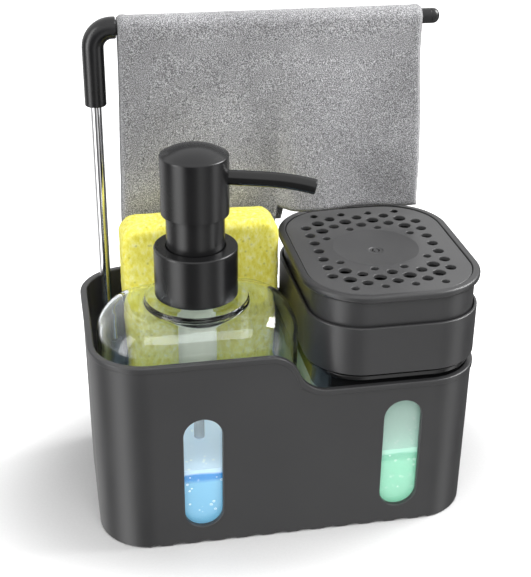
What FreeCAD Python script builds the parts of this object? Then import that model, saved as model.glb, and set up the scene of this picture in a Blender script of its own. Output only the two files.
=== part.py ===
# Soap pump caddy: a tub with a pump bottle, a press-plate dispenser, a sponge and a towel rack.
# Origin at the middle of the tub's underside, X to the right, Y to the back, Z up, in millimetres.
import FreeCAD, Part
import math
import os
import re
import Sketcher

Vector = FreeCAD.Vector
Rotation = FreeCAD.Rotation
doc = FreeCAD.newDocument("soap_caddy")
sheet = doc.addObject("Spreadsheet::Sheet", "Sizes")

# Driving dimensions
sizes = {
    # Tub
    "caddyCorner": 23.0,
    "caddyHeight": 88.0,
    "caddyWall": 2.4,
    "caddyFloor": 2.6,
    "caddyDraft": 0.6,
    "caddyFoot": 1.2,
    "rimDrop": 17.4,
    "swoopPast": 6.2,
    "swoopLength": 25.0,
    "beadHeight": 2.4,
    "beadOut": 0.5,
    "windowWidth": 16.0,
    "windowHeight": 53.0,
    "windowSill": 8.6,
    "windowLeftShift": 2.4,
    "windowRightShift": 1.6,
    "channelPitch": 10.8,
    "channelDepth": 1.0,
    "channelRadius": 6.0,
    "seatGap": 0.2,
    # Pump bottle
    "bottleWidth": 82.8,
    "bottleDepth": 55.0,
    "bottleCorner": 24.0,
    "bottleHeight": 97.8,
    "bottleShoulder": 14.0,
    "bottleHeel": 5.0,
    "bottleWall": 1.4,
    "bottleGap": 1.2,
    "bottleSide": 1.6,
    "middleGap": 2.0,
    "neckStepRadius": 21.3,
    "neckStepHeight": 2.2,
    "neckRadius": 13.0,
    "neckWall": 1.6,
    "soapLevel": 35.0,
    # Pump
    "collarRadius": 17.0,
    "collarHeight": 21.0,
    "collarPlate": 2.5,
    "collarGap": 1.2,
    "threadGap": 0.15,
    "gasketThick": 1.2,
    "flangeThick": 1.4,
    "sleeveRadius": 11.8,
    "sleeveWall": 1.5,
    "sleeveShow": 14.5,
    "headRadius": 13.65,
    "headWall": 1.35,
    "headHeight": 24.0,
    "headDome": 4.2,
    "headRound": 0.8,
    "headStop": 3.0,
    "headClear": 0.6,
    "pumpTravel": 11.0,
    "stemRadius": 3.5,
    "stemBore": 2.2,
    "hubWall": 1.7,
    "runGap": 0.05,
    "cylinderRadius": 8.0,
    "cylinderWall": 1.1,
    "cylinderLength": 64.0,
    "pistonHeight": 8.0,
    "pistonDrop": 27.0,
    "pistonWaist": 1.0,
    "sealLand": 2.0,
    "sealSlope": 1.2,
    "nippleRadius": 4.4,
    "nippleHeight": 6.0,
    "valveHeight": 6.5,
    "valveBevel": 1.0,
    "seatDrop": 1.0,
    "orificeLand": 1.0,
    "cageGap": 0.4,
    "tubeRadius": 2.25,
    "tubeBore": 1.5,
    "tubeClear": 3.0,
    "ballRadius": 2.2,
    "orificeRadius": 1.2,
    "springWire": 0.9,
    "springTurns": 7,
    "spoutRadius": 3.05,
    "spoutBore": 2.0,
    "spoutRise": 15.6,
    "spoutReach": 37.0,
    "spoutTip": 10.4,
    "spoutSlope": 1.5,
    "spoutDroop": 2.6,
    "spoutAngle": 12.0,
    # Press dispenser
    "lidWidth": 73.2,
    "lidHeight": 21.6,
    "lidWall": 1.3,
    "lidRound": 0.6,
    "lidDeck": 2.2,
    "lipShow": 4.9,
    "lipThick": 2.0,
    "lipInset": 1.7,
    "spigotDepth": 5.0,
    "spigotWall": 1.2,
    "spigotGap": 0.25,
    "containerGap": 0.6,
    "containerWall": 1.6,
    "containerHeel": 4.0,
    "plateOverSide": 1.6,
    "plateOverFront": -0.05,
    "plateCorner": 27.0,
    "flangeEdge": 3.0,
    "flangeRound": 1.2,
    "plateTravel": 9.5,
    "plateStop": 1.3,
    "skirtStop": 1.4,
    "skirtGap": 0.5,
    "skirtWall": 2.2,
    "plateRim": 3.2,
    "plateSink": 0.4,
    "plateThick": 1.8,
    "plateGap": 0.2,
    "panDepth": 6.2,
    "panFloor": 1.5,
    "dishRadius": 18.5,
    "dishDepth": 1.5,
    "dishBack": 1.8,
    "holePitchAcross": 6.3,
    "holePitchAlong": 8.2,
    "holeLarge": 5.4,
    "holeMedium": 4.5,
    "holeSmall": 3.3,
    "holeSmallBand": 2.0,
    "holeFreeRadius": 21.0,
    "holeEdgeAlong": 9.7,
    "holeEdgeAcross": 12.2,
    "holeEdgeCorner": 28.4,
    "nozzleRadius": 2.6,
    "nozzleSlotOuter": 1.8,
    "nozzleSlotInner": 1.1,
    "nozzleBridge": 1.2,
    "pressStemRadius": 4.0,
    "pressHubWall": 3.0,
    "pressCylinderRadius": 10.0,
    "pressCylinderLength": 40.0,
    "dishSoapClear": 4.1,
    "pressFlange": 13.5,
    "pressPistonDrop": 6.0,
    "guideHeight": 4.0,
    "pressSpringRadius": 10.5,
    "pressSpringWire": 1.2,
    "pressSpringTurns": 4,
    # Towel rack
    "rodRadius": 2.3,
    "rodBearing": 49.6,
    "rodWallGap": 0.5,
    "bushWall": 0.75,
    "bushFloor": 1.0,
    "bossFoot": 6.0,
    "bossHeight": 54.0,
    "bossSkin": 0.15,
    "barHeight": 200.0,
    "barRadius": 3.2,
    "barWall": 0.9,
    "elbowRadius": 4.5,
    "elbowBend": 8.0,
    "elbowLeg": 24.4,
    "elbowReach": 1.6,
    "barGrip": 5.6,
    "rodGrip": 20.0,
    "capLength": 3.8,
    "capPlug": 6.0,
    "capRound": 2.7,
    # Towel and sponge
    "towelWidth": 129.0,
    "towelStart": 0.6,
    "towelThick": 1.8,
    "towelClear": 5.7,
    "towelStagger": 5.4,
    "towelGap": 0.05,
    "towelFlare": 1.5,
    "towelFolds": 3,
    "towelFoldDepth": 2.0,
    "barShow": 4.6,
    "spongeWidth": 68.0,
    "spongeHeight": 118.5,
    "spongeThick": 20.0,
    "spongeCorner": 8.0,
    "spongeRound": 4.0,
    "spongeGap": 0.7,
    "spongeShift": 6.0,
    "spongeFree": 18.0,
    "rearSpace": 12.8,
}

# Sizes and places that follow from the driving ones
derived = {
    "bottleRoom": "max(bottleSide + bottleWidth + middleGap; spongeWidth + spongeFree)",
    "caddyWidth": "caddyWall + bottleRoom + lidWidth",
    "caddyDepth": "2 * caddyWall + bottleGap + bottleDepth + spongeGap + spongeThick + rearSpace",
    "rimLow": "caddyHeight - rimDrop",
    "swoopRadius": "(swoopLength ^ 2 + rimDrop ^ 2) / (4 * rimDrop)",
    "pumpX": "-caddyWidth / 2 + caddyWall + bottleSide + bottleWidth / 2",
    "pumpY": "-caddyDepth / 2 + caddyWall + bottleGap + bottleDepth / 2",
    "bottleBase": "caddyFloor + seatGap",
    "shoulderTop": "bottleBase + bottleHeight",
    "neckStepTop": "shoulderTop + neckStepHeight",
    "collarBase": "neckStepTop + collarGap",
    "collarTop": "collarBase + collarHeight",
    "neckTop": "collarTop - collarPlate - 2 * flangeThick - gasketThick",
    "cylinderTop": "neckTop + gasketThick + flangeThick",
    "cylinderBase": "cylinderTop - cylinderLength",
    "cylinderBore": "cylinderRadius - cylinderWall",
    "flangeRadius": "neckRadius - threadGap",
    "springSeat": "cylinderBase + nippleHeight + valveHeight",
    "valveSeat": "nippleHeight - seatDrop",
    "socketTop": "valveSeat - orificeLand",
    "cageRadius": "ballRadius + cageGap",
    "headBase": "collarTop + pumpTravel + headStop",
    "headCavity": "sleeveShow - headStop + headClear",
    "spoutLevel": "headBase + spoutRise",
    "pistonBase": "cylinderTop - pistonDrop",
    "pressX": "caddyWidth / 2 - lidWidth / 2",
    "swoopEnd": "caddyWidth / 2 - lidWidth + swoopPast",
    "swoopStart": "swoopEnd - swoopLength",
    "lidDepth": "caddyDepth",
    "lidCorner": "caddyCorner",
    "lidBase": "rimLow + lipShow",
    "lidTop": "lidBase + lidHeight",
    "deckTop": "lidBase + lidDeck",
    "lipTop": "lidBase - gasketThick",
    "containerBase": "caddyFloor + seatGap",
    "containerInset": "caddyWall + caddyDraft + containerGap",
    "flangeBase": "lidTop + plateStop + plateTravel",
    "plateTop": "flangeBase + flangeEdge",
    "plateWidth": "lidWidth + 2 * plateOverSide",
    "plateDepth": "lidDepth + 2 * plateOverFront",
    "holeFieldAlong": "plateDepth / 2 - holeEdgeAlong",
    "holeFieldAcross": "plateWidth / 2 - holeEdgeAcross",
    "holeFieldCorner": "(plateWidth + plateDepth) / 2 - holeEdgeCorner",
    "skirtInset": "lidWall + skirtGap",
    "skirtBase": "deckTop + plateTravel + skirtStop",
    "skirtHeight": "flangeBase - skirtBase",
    "panTop": "flangeBase - panDepth",
    "panBase": "panTop - panFloor",
    "drainTop": "plateTop - plateSink",
    "drainBase": "drainTop - plateThick",
    "dishBase": "drainBase - dishBack",
    "dishSphere": "(dishRadius ^ 2 + dishDepth ^ 2) / (2 * dishDepth)",
    "pressCylinderTop": "deckTop + flangeThick",
    "pressCylinderBase": "pressCylinderTop - pressCylinderLength",
    "dishSoapLevel": "pressCylinderBase - dishSoapClear",
    "pressBore": "pressCylinderRadius - cylinderWall",
    "pressPistonBase": "pressCylinderTop - pressPistonDrop - pistonHeight",
    "rodReach": "caddyCorner - caddyWall - rodRadius - rodWallGap",
    "rodX": "-(caddyWidth / 2 - caddyCorner) - rodReach * cos(rodBearing)",
    "rodY": "caddyDepth / 2 - caddyCorner + rodReach * sin(rodBearing)",
    "bushRadius": "rodRadius + runGap + bushWall",
    "bossRadius": "caddyCorner - caddyDraft - rodReach - bossSkin",
    "bossTop": "caddyFloor + bossHeight",
    "bushBase": "caddyFloor + bossFoot",
    "bendStart": "barHeight - elbowBend",
    "elbowFoot": "bendStart - elbowLeg",
    "elbowEnd": "rodX + elbowBend + elbowReach",
    "towelLeft": "elbowEnd + towelStart",
    "towelFront": "barHeight - plateTop - towelClear",
    "towelBack": "towelFront - towelStagger",
    "towelInner": "barRadius + towelGap",
    "towelOuter": "towelInner + towelThick",
    "barEnd": "towelLeft + towelWidth + barShow",
    "spongeBase": "caddyFloor + seatGap",
    "spongeX": "pumpX + spongeShift",
    "spongeY": "pumpY + bottleDepth / 2 + spongeGap + spongeThick / 2",
    "windowLeft": "pumpX - windowLeftShift",
    "windowRight": "pressX + windowRightShift",
}


def fillSheet():
    rows = [(alias, str(number)) for alias, number in sizes.items()]
    rows += [(alias, "=" + formula) for alias, formula in derived.items()]
    for row, (alias, text) in enumerate(rows, start=1):
        sheet.set("A%d" % row, text)
        sheet.setAlias("A%d" % row, alias)
    doc.recompute()


def bound(text):
    # An expression in aliases, with each alias tied to the sheet
    def tie(word):
        alias = word.group()
        return "Sizes." + alias if alias in sizes or alias in derived else alias

    return re.sub(r"[A-Za-z]\w*", tie, text)


def value(text):
    return float(sheet.evalExpression(bound(text)))


def place(item, x="0", y="0", z="0"):
    for axis, text in zip("xyz", (x, y, z)):
        item.setExpression("Placement.Base." + axis, bound(text))
    return item


def newBody(label, x="0", y="0", z="0"):
    return place(doc.addObject("PartDesign::Body", label), x, y, z)


def sketchOn(body, name, role, lift="0"):
    sketch = body.newObject("Sketcher::SketchObject", name)
    support = [item for item in body.Origin.OriginFeatures if item.Role == role][0]
    sketch.AttachmentSupport = (support, [""])
    sketch.MapMode = "FlatFace"
    sketch.setExpression("AttachmentOffset.Base.z", bound(lift))
    return sketch


def pin(sketch, name, text, kind, *where):
    # A named dimension of a sketch, tied to the sheet
    index = sketch.addConstraint(Sketcher.Constraint(kind, *where, value(text)))
    sketch.renameConstraint(index, name)
    sketch.setExpression("Constraints." + name, bound(text))


def pinPoint(sketch, name, geometry, point, x, y):
    for axis, text, line in (("X", x, -2), ("Y", y, -1)):
        if text == "0":
            sketch.addConstraint(Sketcher.Constraint("PointOnObject", geometry, point, line))
        else:
            pin(sketch, name + axis, text, "Distance" + axis, -1, 1, geometry, point)


def roundedRect(sketch, width, depth, corner):
    # Four lines and four corner arcs about the sketch's origin
    halfX = value(width) / 2
    halfY = value(depth) / 2
    radius = value(corner)
    inX = halfX - radius
    inY = halfY - radius
    ends = [((-inX, -halfY), (inX, -halfY)), ((halfX, -inY), (halfX, inY)),
            ((inX, halfY), (-inX, halfY)), ((-halfX, inY), (-halfX, -inY))]
    centres = [(inX, -inY), (inX, inY), (-inX, inY), (-inX, -inY)]
    for turn in range(4):
        start, end = ends[turn]
        sketch.addGeometry(Part.LineSegment(Vector(*start, 0), Vector(*end, 0)), False)
        circle = Part.Circle(Vector(*centres[turn], 0), Vector(0, 0, 1), radius)
        angle = turn * math.pi / 2
        sketch.addGeometry(Part.ArcOfCircle(circle, angle - math.pi / 2, angle), False)
    for turn in range(4):
        line = 2 * turn
        arc = line + 1
        sketch.addConstraint(Sketcher.Constraint("Tangent", line, 2, arc, 1))
        sketch.addConstraint(Sketcher.Constraint("Tangent", arc, 2, (line + 2) % 8, 1))
        sketch.addConstraint(Sketcher.Constraint("Vertical" if turn % 2 else "Horizontal", line))
        if turn:
            sketch.addConstraint(Sketcher.Constraint("Equal", 1, arc))
    sketch.addConstraint(Sketcher.Constraint("Symmetric", 1, 3, 5, 3, -1, 1))
    pin(sketch, "width", width, "DistanceX", 6, 1, 2, 1)
    pin(sketch, "depth", depth, "DistanceY", 0, 1, 4, 1)
    pin(sketch, "corner", corner, "Radius", 1)


def pad(body, sketch, length, reverse=False, both=False):
    feature = body.newObject("PartDesign::Pad", sketch.Label + "_pad")
    feature.Profile = sketch
    feature.setExpression("Length", bound(length))
    feature.Reversed = reverse
    feature.Midplane = both
    doc.recompute()
    return feature


def slab(label, width, depth, corner, base, height, x="0", y="0"):
    # An upright block with rounded corners
    body = newBody(label, x, y, base)
    sketch = sketchOn(body, label + "_outline", "XY_Plane")
    roundedRect(sketch, width, depth, corner)
    pad(body, sketch, height)
    return body


def taper(label, base, sections):
    # A block through rounded outlines, each a level, width, depth and corner
    body = newBody(label, z=base)
    outlines = []
    for index, (level, *outline) in enumerate(sections):
        outlines.append(sketchOn(body, "%s_outline%d" % (label, index), "XY_Plane", level))
        roundedRect(outlines[-1], *outline)
    loft = body.newObject("PartDesign::AdditiveLoft", label + "_loft")
    loft.Profile = outlines[0]
    loft.Sections = outlines[1:]
    loft.Ruled = True
    doc.recompute()
    return body


def polygon(sketch, points):
    corners = [Vector(value(x), value(y), 0) for x, y in points]
    count = len(points)
    for index in range(count):
        sketch.addGeometry(Part.LineSegment(corners[index], corners[(index + 1) % count]), False)
    for index in range(count):
        sketch.addConstraint(Sketcher.Constraint("Coincident", index, 2, (index + 1) % count, 1))
    for index, (x, y) in enumerate(points):
        pinPoint(sketch, "corner%d" % index, index, 1, x, y)


def turned(label, points, x, y, z):
    # A turned piece from its half section, each point a radius and a level
    body = newBody(label, x, y, z)
    sketch = sketchOn(body, label + "_section", "XZ_Plane")
    polygon(sketch, points)
    feature = body.newObject("PartDesign::Revolution", label + "_turn")
    feature.Profile = sketch
    feature.ReferenceAxis = (sketch, ["V_Axis"])
    feature.Angle = 360
    doc.recompute()
    return body


def roundEdges(body, radius, chosen):
    # A fillet on the edges of the body so far that the test picks
    base = body.Tip
    names = ["Edge%d" % (index + 1) for index, edge in enumerate(base.Shape.Edges) if chosen(edge)]
    feature = body.newObject("PartDesign::Fillet", body.Label + "_round%d" % len(body.Group))
    feature.Base = (base, names)
    feature.setExpression("Radius", bound(radius))
    doc.recompute()
    return feature


def levelAt(text):
    # A test for the edges that lie flat at one level of their body
    level = value(text)

    def chosen(edge):
        box = edge.BoundBox
        return abs(box.ZMin - level) < 1e-4 and abs(box.ZMax - level) < 1e-4

    return chosen


def cylinder(label, radius, height, x="0", y="0", z="0", turn=None):
    item = doc.addObject("Part::Cylinder", label)
    item.setExpression("Radius", bound(radius))
    item.setExpression("Height", bound(height))
    if turn:
        item.Placement.Rotation = turn
    return place(item, x, y, z)


def block(label, length, width, height, x, y, z):
    item = doc.addObject("Part::Box", label)
    for name, text in (("Length", length), ("Width", width), ("Height", height)):
        item.setExpression(name, bound(text))
    return place(item, x, y, z)


def combine(kind, label, base, tool):
    item = doc.addObject("Part::" + kind, label)
    item.Base = base
    item.Tool = tool
    return item


def cut(label, base, *tools):
    for index, tool in enumerate(tools, start=1):
        last = index == len(tools)
        base = combine("Cut", label if last else "%s_cut%d" % (label, index), base, tool)
    return base


def fuse(label, base, *others):
    for index, other in enumerate(others, start=1):
        last = index == len(others)
        base = combine("Fuse", label if last else "%s_join%d" % (label, index), base, other)
    return base


# Tub

alongX = Rotation(Vector(0, 1, 0), 90)


def rimRun(sketch, inset, first):
    # The rim's line: level, two arcs of the swoop, and level again, moved in from the rim
    start = value("swoopStart")
    end = value("swoopEnd")
    radius = value("swoopRadius")
    depth = value(inset)
    top = value("caddyHeight")
    low = value("rimLow")
    reach = value("caddyWidth")
    sweep = math.asin(value("swoopLength") / 2 / radius)
    crest = Part.Circle(Vector(start, top - radius, 0), Vector(0, 0, 1), radius - depth)
    trough = Part.Circle(Vector(end, low + radius, 0), Vector(0, 0, 1), radius + depth)
    left = (Vector(-reach, top - depth, 0), Vector(start, top - depth, 0))
    right = (Vector(end, low - depth, 0), Vector(reach, low - depth, 0))
    sketch.addGeometry(Part.LineSegment(*left), False)
    sketch.addGeometry(Part.ArcOfCircle(crest, math.pi / 2 - sweep, math.pi / 2), False)
    sketch.addGeometry(Part.ArcOfCircle(trough, 1.5 * math.pi - sweep, 1.5 * math.pi), False)
    sketch.addGeometry(Part.LineSegment(*right), False)
    second, third, fourth = first + 1, first + 2, first + 3
    sketch.addConstraint(Sketcher.Constraint("Tangent", first, 2, second, 2))
    sketch.addConstraint(Sketcher.Constraint("Tangent", second, 1, third, 1))
    sketch.addConstraint(Sketcher.Constraint("Tangent", third, 2, fourth, 1))
    sketch.addConstraint(Sketcher.Constraint("Horizontal", first))
    sketch.addConstraint(Sketcher.Constraint("Horizontal", fourth))
    pinPoint(sketch, "crest%d" % first, second, 3, "swoopStart", "caddyHeight - swoopRadius")
    pinPoint(sketch, "trough%d" % first, third, 3, "swoopEnd", "rimLow + swoopRadius")
    pin(sketch, "bend%d" % first, "swoopRadius - (%s)" % inset, "Radius", second)
    pin(sketch, "leftEnd%d" % first, "-caddyWidth", "DistanceX", -1, 1, first, 1)
    pin(sketch, "rightEnd%d" % first, "caddyWidth", "DistanceX", -1, 1, fourth, 2)


def joinEnds(sketch, points):
    # Straight lines from point to point, each point a geometry and its end
    for (geometry, end), (nextGeometry, nextEnd) in points:
        here = sketch.getPoint(geometry, end)
        there = sketch.getPoint(nextGeometry, nextEnd)
        line = sketch.addGeometry(Part.LineSegment(here, there), False)
        sketch.addConstraint(Sketcher.Constraint("Coincident", geometry, end, line, 1))
        sketch.addConstraint(Sketcher.Constraint("Coincident", line, 2, nextGeometry, nextEnd))


def rimCutter():
    # All that lies above the rim
    body = newBody("rim_cutter")
    sketch = sketchOn(body, "rim_line", "XZ_Plane")
    rimRun(sketch, "0 * beadHeight", 0)
    reach = value("caddyWidth")
    top = 2 * value("caddyHeight")
    ceiling = sketch.addGeometry(Part.LineSegment(Vector(-reach, top, 0), Vector(reach, top, 0)), False)
    pinPoint(sketch, "ceilingLeft", ceiling, 1, "-caddyWidth", "2 * caddyHeight")
    pinPoint(sketch, "ceilingRight", ceiling, 2, "caddyWidth", "2 * caddyHeight")
    joinEnds(sketch, [((0, 1), (ceiling, 1)), ((3, 2), (ceiling, 2))])
    pad(body, sketch, "2 * caddyDepth", both=True)
    return body


def rimBand():
    # A strip of even height that follows the rim
    body = newBody("rim_band")
    sketch = sketchOn(body, "band_line", "XZ_Plane")
    rimRun(sketch, "0 * beadHeight", 0)
    rimRun(sketch, "beadHeight", 4)
    joinEnds(sketch, [((0, 1), (4, 1)), ((3, 2), (7, 2))])
    pad(body, sketch, "2 * caddyDepth", both=True)
    return body


def windowCutter(label, x):
    # A pill-shaped opening through the front wall
    body = newBody(label, x)
    sketch = sketchOn(body, label + "_pill", "XZ_Plane", "caddyDepth / 2 + caddyWall")
    radius = value("windowWidth") / 2
    low = value("windowSill") + radius
    high = low + value("windowHeight") - 2 * radius
    sketch.addGeometry(Part.LineSegment(Vector(radius, low, 0), Vector(radius, high, 0)), False)
    upper = Part.Circle(Vector(0, high, 0), Vector(0, 0, 1), radius)
    sketch.addGeometry(Part.ArcOfCircle(upper, 0, math.pi), False)
    sketch.addGeometry(Part.LineSegment(Vector(-radius, high, 0), Vector(-radius, low, 0)), False)
    lower = Part.Circle(Vector(0, low, 0), Vector(0, 0, 1), radius)
    sketch.addGeometry(Part.ArcOfCircle(lower, math.pi, 2 * math.pi), False)
    for piece in range(4):
        sketch.addConstraint(Sketcher.Constraint("Tangent", piece, 2, (piece + 1) % 4, 1))
    sketch.addConstraint(Sketcher.Constraint("Equal", 1, 3))
    sketch.addConstraint(Sketcher.Constraint("Vertical", 0))
    pin(sketch, "halfWidth", "windowWidth / 2", "Radius", 1)
    pinPoint(sketch, "lower", 3, 3, "0", "windowSill + windowWidth / 2")
    pin(sketch, "centres", "windowHeight - windowWidth", "DistanceY", 3, 3, 1, 3)
    pad(body, sketch, "4 * caddyWall", reverse=True)
    return body


def channelCutter():
    # Shallow drain channels across the underside, spaced evenly about the middle
    body = newBody("channel_cutter")
    sketch = sketchOn(body, "channel_round", "XZ_Plane")
    count = 2 * int((value("caddyWidth") - value("caddyCorner")) / 2 / value("channelPitch"))
    first = "-%g * channelPitch" % ((count - 1) / 2)
    depth = "channelDepth - channelRadius"
    centre = Vector(value(first), value(depth), 0)
    circle = Part.Circle(centre, Vector(0, 0, 1), value("channelRadius"))
    sketch.addGeometry(circle, False)
    pinPoint(sketch, "centre", 0, 3, first, depth)
    pin(sketch, "round", "channelRadius", "Radius", 0)
    groove = pad(body, sketch, "2 * caddyDepth", both=True)
    pattern = body.newObject("PartDesign::LinearPattern", "channel_row")
    pattern.Originals = [groove]
    pattern.Direction = (sketch, ["H_Axis"])
    pattern.setExpression("Length", bound("%d * channelPitch" % (count - 1)))
    pattern.Occurrences = count
    body.Tip = pattern
    doc.recompute()
    return body


def makeTub():
    foot = ("caddyWidth - 2 * caddyDraft", "caddyDepth - 2 * caddyDraft", "caddyCorner - caddyDraft")
    top = ("caddyWidth", "caddyDepth", "caddyCorner")
    bevel = (" - 2 * caddyFoot", " - 2 * caddyFoot", " - caddyFoot")
    sole = [text + less for text, less in zip(foot, bevel)]
    brim = "caddyHeight + beadHeight"
    outer = taper("tub_outer", "0", [("0", *sole), ("caddyFoot", *foot), (brim, *top)])
    walls = (" - 2 * caddyWall", " - 2 * caddyWall", " - caddyWall")
    inFoot = [text + less for text, less in zip(foot, walls)]
    inTop = [text + less for text, less in zip(top, walls)]
    inner = taper("tub_inner", "caddyFloor", [("0", *inFoot), (brim, *inTop)])
    bead = slab("tub_bead", "caddyWidth + 2 * beadOut", "caddyDepth + 2 * beadOut",
                "caddyCorner + beadOut", "0", "caddyHeight")
    lip = combine("Common", "tub_lip", bead, rimBand())
    shell = cut("tub_shell", fuse("tub_blank", outer, lip), inner, rimCutter())
    boss = cylinder("rod_boss", "bossRadius", "bossHeight", "rodX", "rodY", "caddyFloor")
    bore = cylinder("rod_bore", "bushRadius", "bossTop - bushBase", "rodX", "rodY", "bushBase")
    left = windowCutter("left_window", "windowLeft")
    right = windowCutter("right_window", "windowRight")
    return cut("caddy_body", fuse("tub_with_boss", shell, boss), bore, left, right, channelCutter())


# Pump bottle

def bottleForm(label, inset, base, height):
    # The bottle's outside, or its cavity when moved in by the wall
    body = slab(label, "bottleWidth - 2 * (%s)" % inset, "bottleDepth - 2 * (%s)" % inset,
                "bottleCorner - (%s)" % inset, base, height, "pumpX", "pumpY")
    roundEdges(body, "bottleShoulder - (%s)" % inset, levelAt(height))
    roundEdges(body, "bottleHeel - (%s)" % inset, levelAt("0"))
    return body


def makeBottle():
    outer = bottleForm("bottle_outer", "0 * bottleWall", "bottleBase", "bottleHeight")
    cavity = bottleForm("bottle_cavity", "bottleWall", "bottleBase + bottleWall",
                        "bottleHeight - 2 * bottleWall")
    step = cylinder("neck_step", "neckStepRadius", "neckStepHeight + bottleWall", "pumpX", "pumpY",
                    "shoulderTop - bottleWall")
    neck = cylinder("neck", "neckRadius", "neckTop - neckStepTop + bottleWall", "pumpX", "pumpY",
                    "neckStepTop - bottleWall")
    mouth = cylinder("mouth", "neckRadius - neckWall", "neckTop - shoulderTop + 2 * bottleWall",
                     "pumpX", "pumpY", "shoulderTop - 2 * bottleWall")
    blank = fuse("bottle_blank", outer, step, neck)
    return cut("hand_bottle", blank, cavity, mouth), cavity


def makeFilling(label, cavity, tube, level, base, width, depth, x, y):
    # What lies in a cavity below the soap level, clear of the tube that stands in it
    below = block(label + "_below", width, depth, "%s - (%s)" % (level, base), "%s - (%s) / 2" % (x, width),
                  "%s - (%s) / 2" % (y, depth), base)
    return cut(label, combine("Common", label + "_level", cavity, below), tube)


# Pump

def valveSection(bore, socketBore):
    # The inner line of a pump cylinder, from its foot: tube socket, orifice, ball seat, cage and bore
    return [
        (socketBore, "0"),
        (socketBore, "socketTop"),
        ("orificeRadius", "socketTop"),
        ("orificeRadius", "valveSeat"),
        ("cageRadius", "valveSeat + cageRadius - orificeRadius"),
        ("cageRadius", "nippleHeight + valveHeight - valveBevel"),
        (bore, "nippleHeight + valveHeight"),
    ]


def pumpCylinder(label, radius, bore, flange, length, x, y, base):
    inner = valveSection(bore, "tubeRadius")
    outer = [
        (bore, length),
        (flange, length),
        (flange, "%s - flangeThick" % length),
        (radius, "%s - flangeThick" % length),
        (radius, "nippleHeight + valveHeight - 2 * valveBevel"),
        ("nippleRadius", "nippleHeight"),
        ("nippleRadius", "0"),
    ]
    return turned(label, inner + outer, x, y, base)


def valveBall(label, x, y, base):
    item = doc.addObject("Part::Sphere", label)
    item.setExpression("Radius", bound("ballRadius"))
    seat = "%s + valveSeat + sqrt(2) * (ballRadius + runGap) - orificeRadius" % base
    return place(item, x, y, seat)


def tubePiece(label, top, bottom, x, y):
    length = "%s - (%s)" % (top, bottom)
    outer = cylinder(label + "_outer", "tubeRadius", length, x, y, bottom)
    bore = cylinder(label + "_bore", "tubeBore", length, x, y, bottom)
    return cut(label, outer, bore), outer


def biarc(start, startWay, end, endWay):
    # Two arcs that leave and arrive along given directions, as their three-point arcs
    chord = end - start
    both = startWay + endWay
    spread = 2 * (1 - startWay.dot(endWay))
    along = chord.dot(both)
    reach = (-along + math.sqrt(along * along + spread * chord.dot(chord))) / spread
    first = start + startWay * reach
    second = end - endWay * reach
    middle = (first + second) * 0.5
    arcs = []
    for near, apex, far in ((start, first, middle), (middle, second, end)):
        foot = (near + far) * 0.5
        half = (far - near).Length / 2
        lift = apex - foot
        quarter = math.atan2(lift.Length, half) / 2
        top = foot + lift * (half * math.tan(quarter) / lift.Length)
        arcs.append(Part.Arc(near, top, far).toShape())
    return arcs


def makeSpring(label, radius, wire, turns, low, high, x, y):
    # One wire wound as a helix of quarter turns between two levels, its ends inside them
    count = int(round(4 * value(turns)))
    coil = value(radius)
    thick = value(wire)
    base = value(low) + thick / 2 + value("seatGap")
    rise = (value(high) - value(low) - thick - 2 * value("seatGap")) / count
    quarter = math.pi / 2
    slope = rise / quarter
    edges = []
    points = []
    for step in range(count + 1):
        angle = step * quarter
        spot = Vector(coil * math.cos(angle), coil * math.sin(angle), base + step * rise)
        way = Vector(-coil * math.sin(angle), coil * math.cos(angle), slope)
        points.append((spot, way.normalize()))
    for (start, startWay), (end, endWay) in zip(points, points[1:]):
        edges += biarc(start, startWay, end, endWay)
    path = Part.Wire(edges)
    ring = Part.Wire(Part.Circle(points[0][0], points[0][1], thick / 2).toShape())
    item = doc.addObject("Part::Feature", label)
    item.Shape = path.makePipeShell([ring], True, False)
    item.Placement = FreeCAD.Placement(Vector(value(x), value(y), 0), Rotation())
    print(label, "least gap between turns", round(4 * rise - thick, 2))
    return item


def pistonSection(stem, bore):
    # A ring on the stem with a sealing land at each end
    return [
        (stem, "0"),
        ("%s - runGap" % bore, "0"),
        ("%s - runGap" % bore, "sealLand"),
        ("%s - pistonWaist" % bore, "sealLand + sealSlope"),
        ("%s - pistonWaist" % bore, "pistonHeight - sealLand - sealSlope"),
        ("%s - runGap" % bore, "pistonHeight - sealLand"),
        ("%s - runGap" % bore, "pistonHeight"),
        (stem, "pistonHeight"),
    ]


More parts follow.
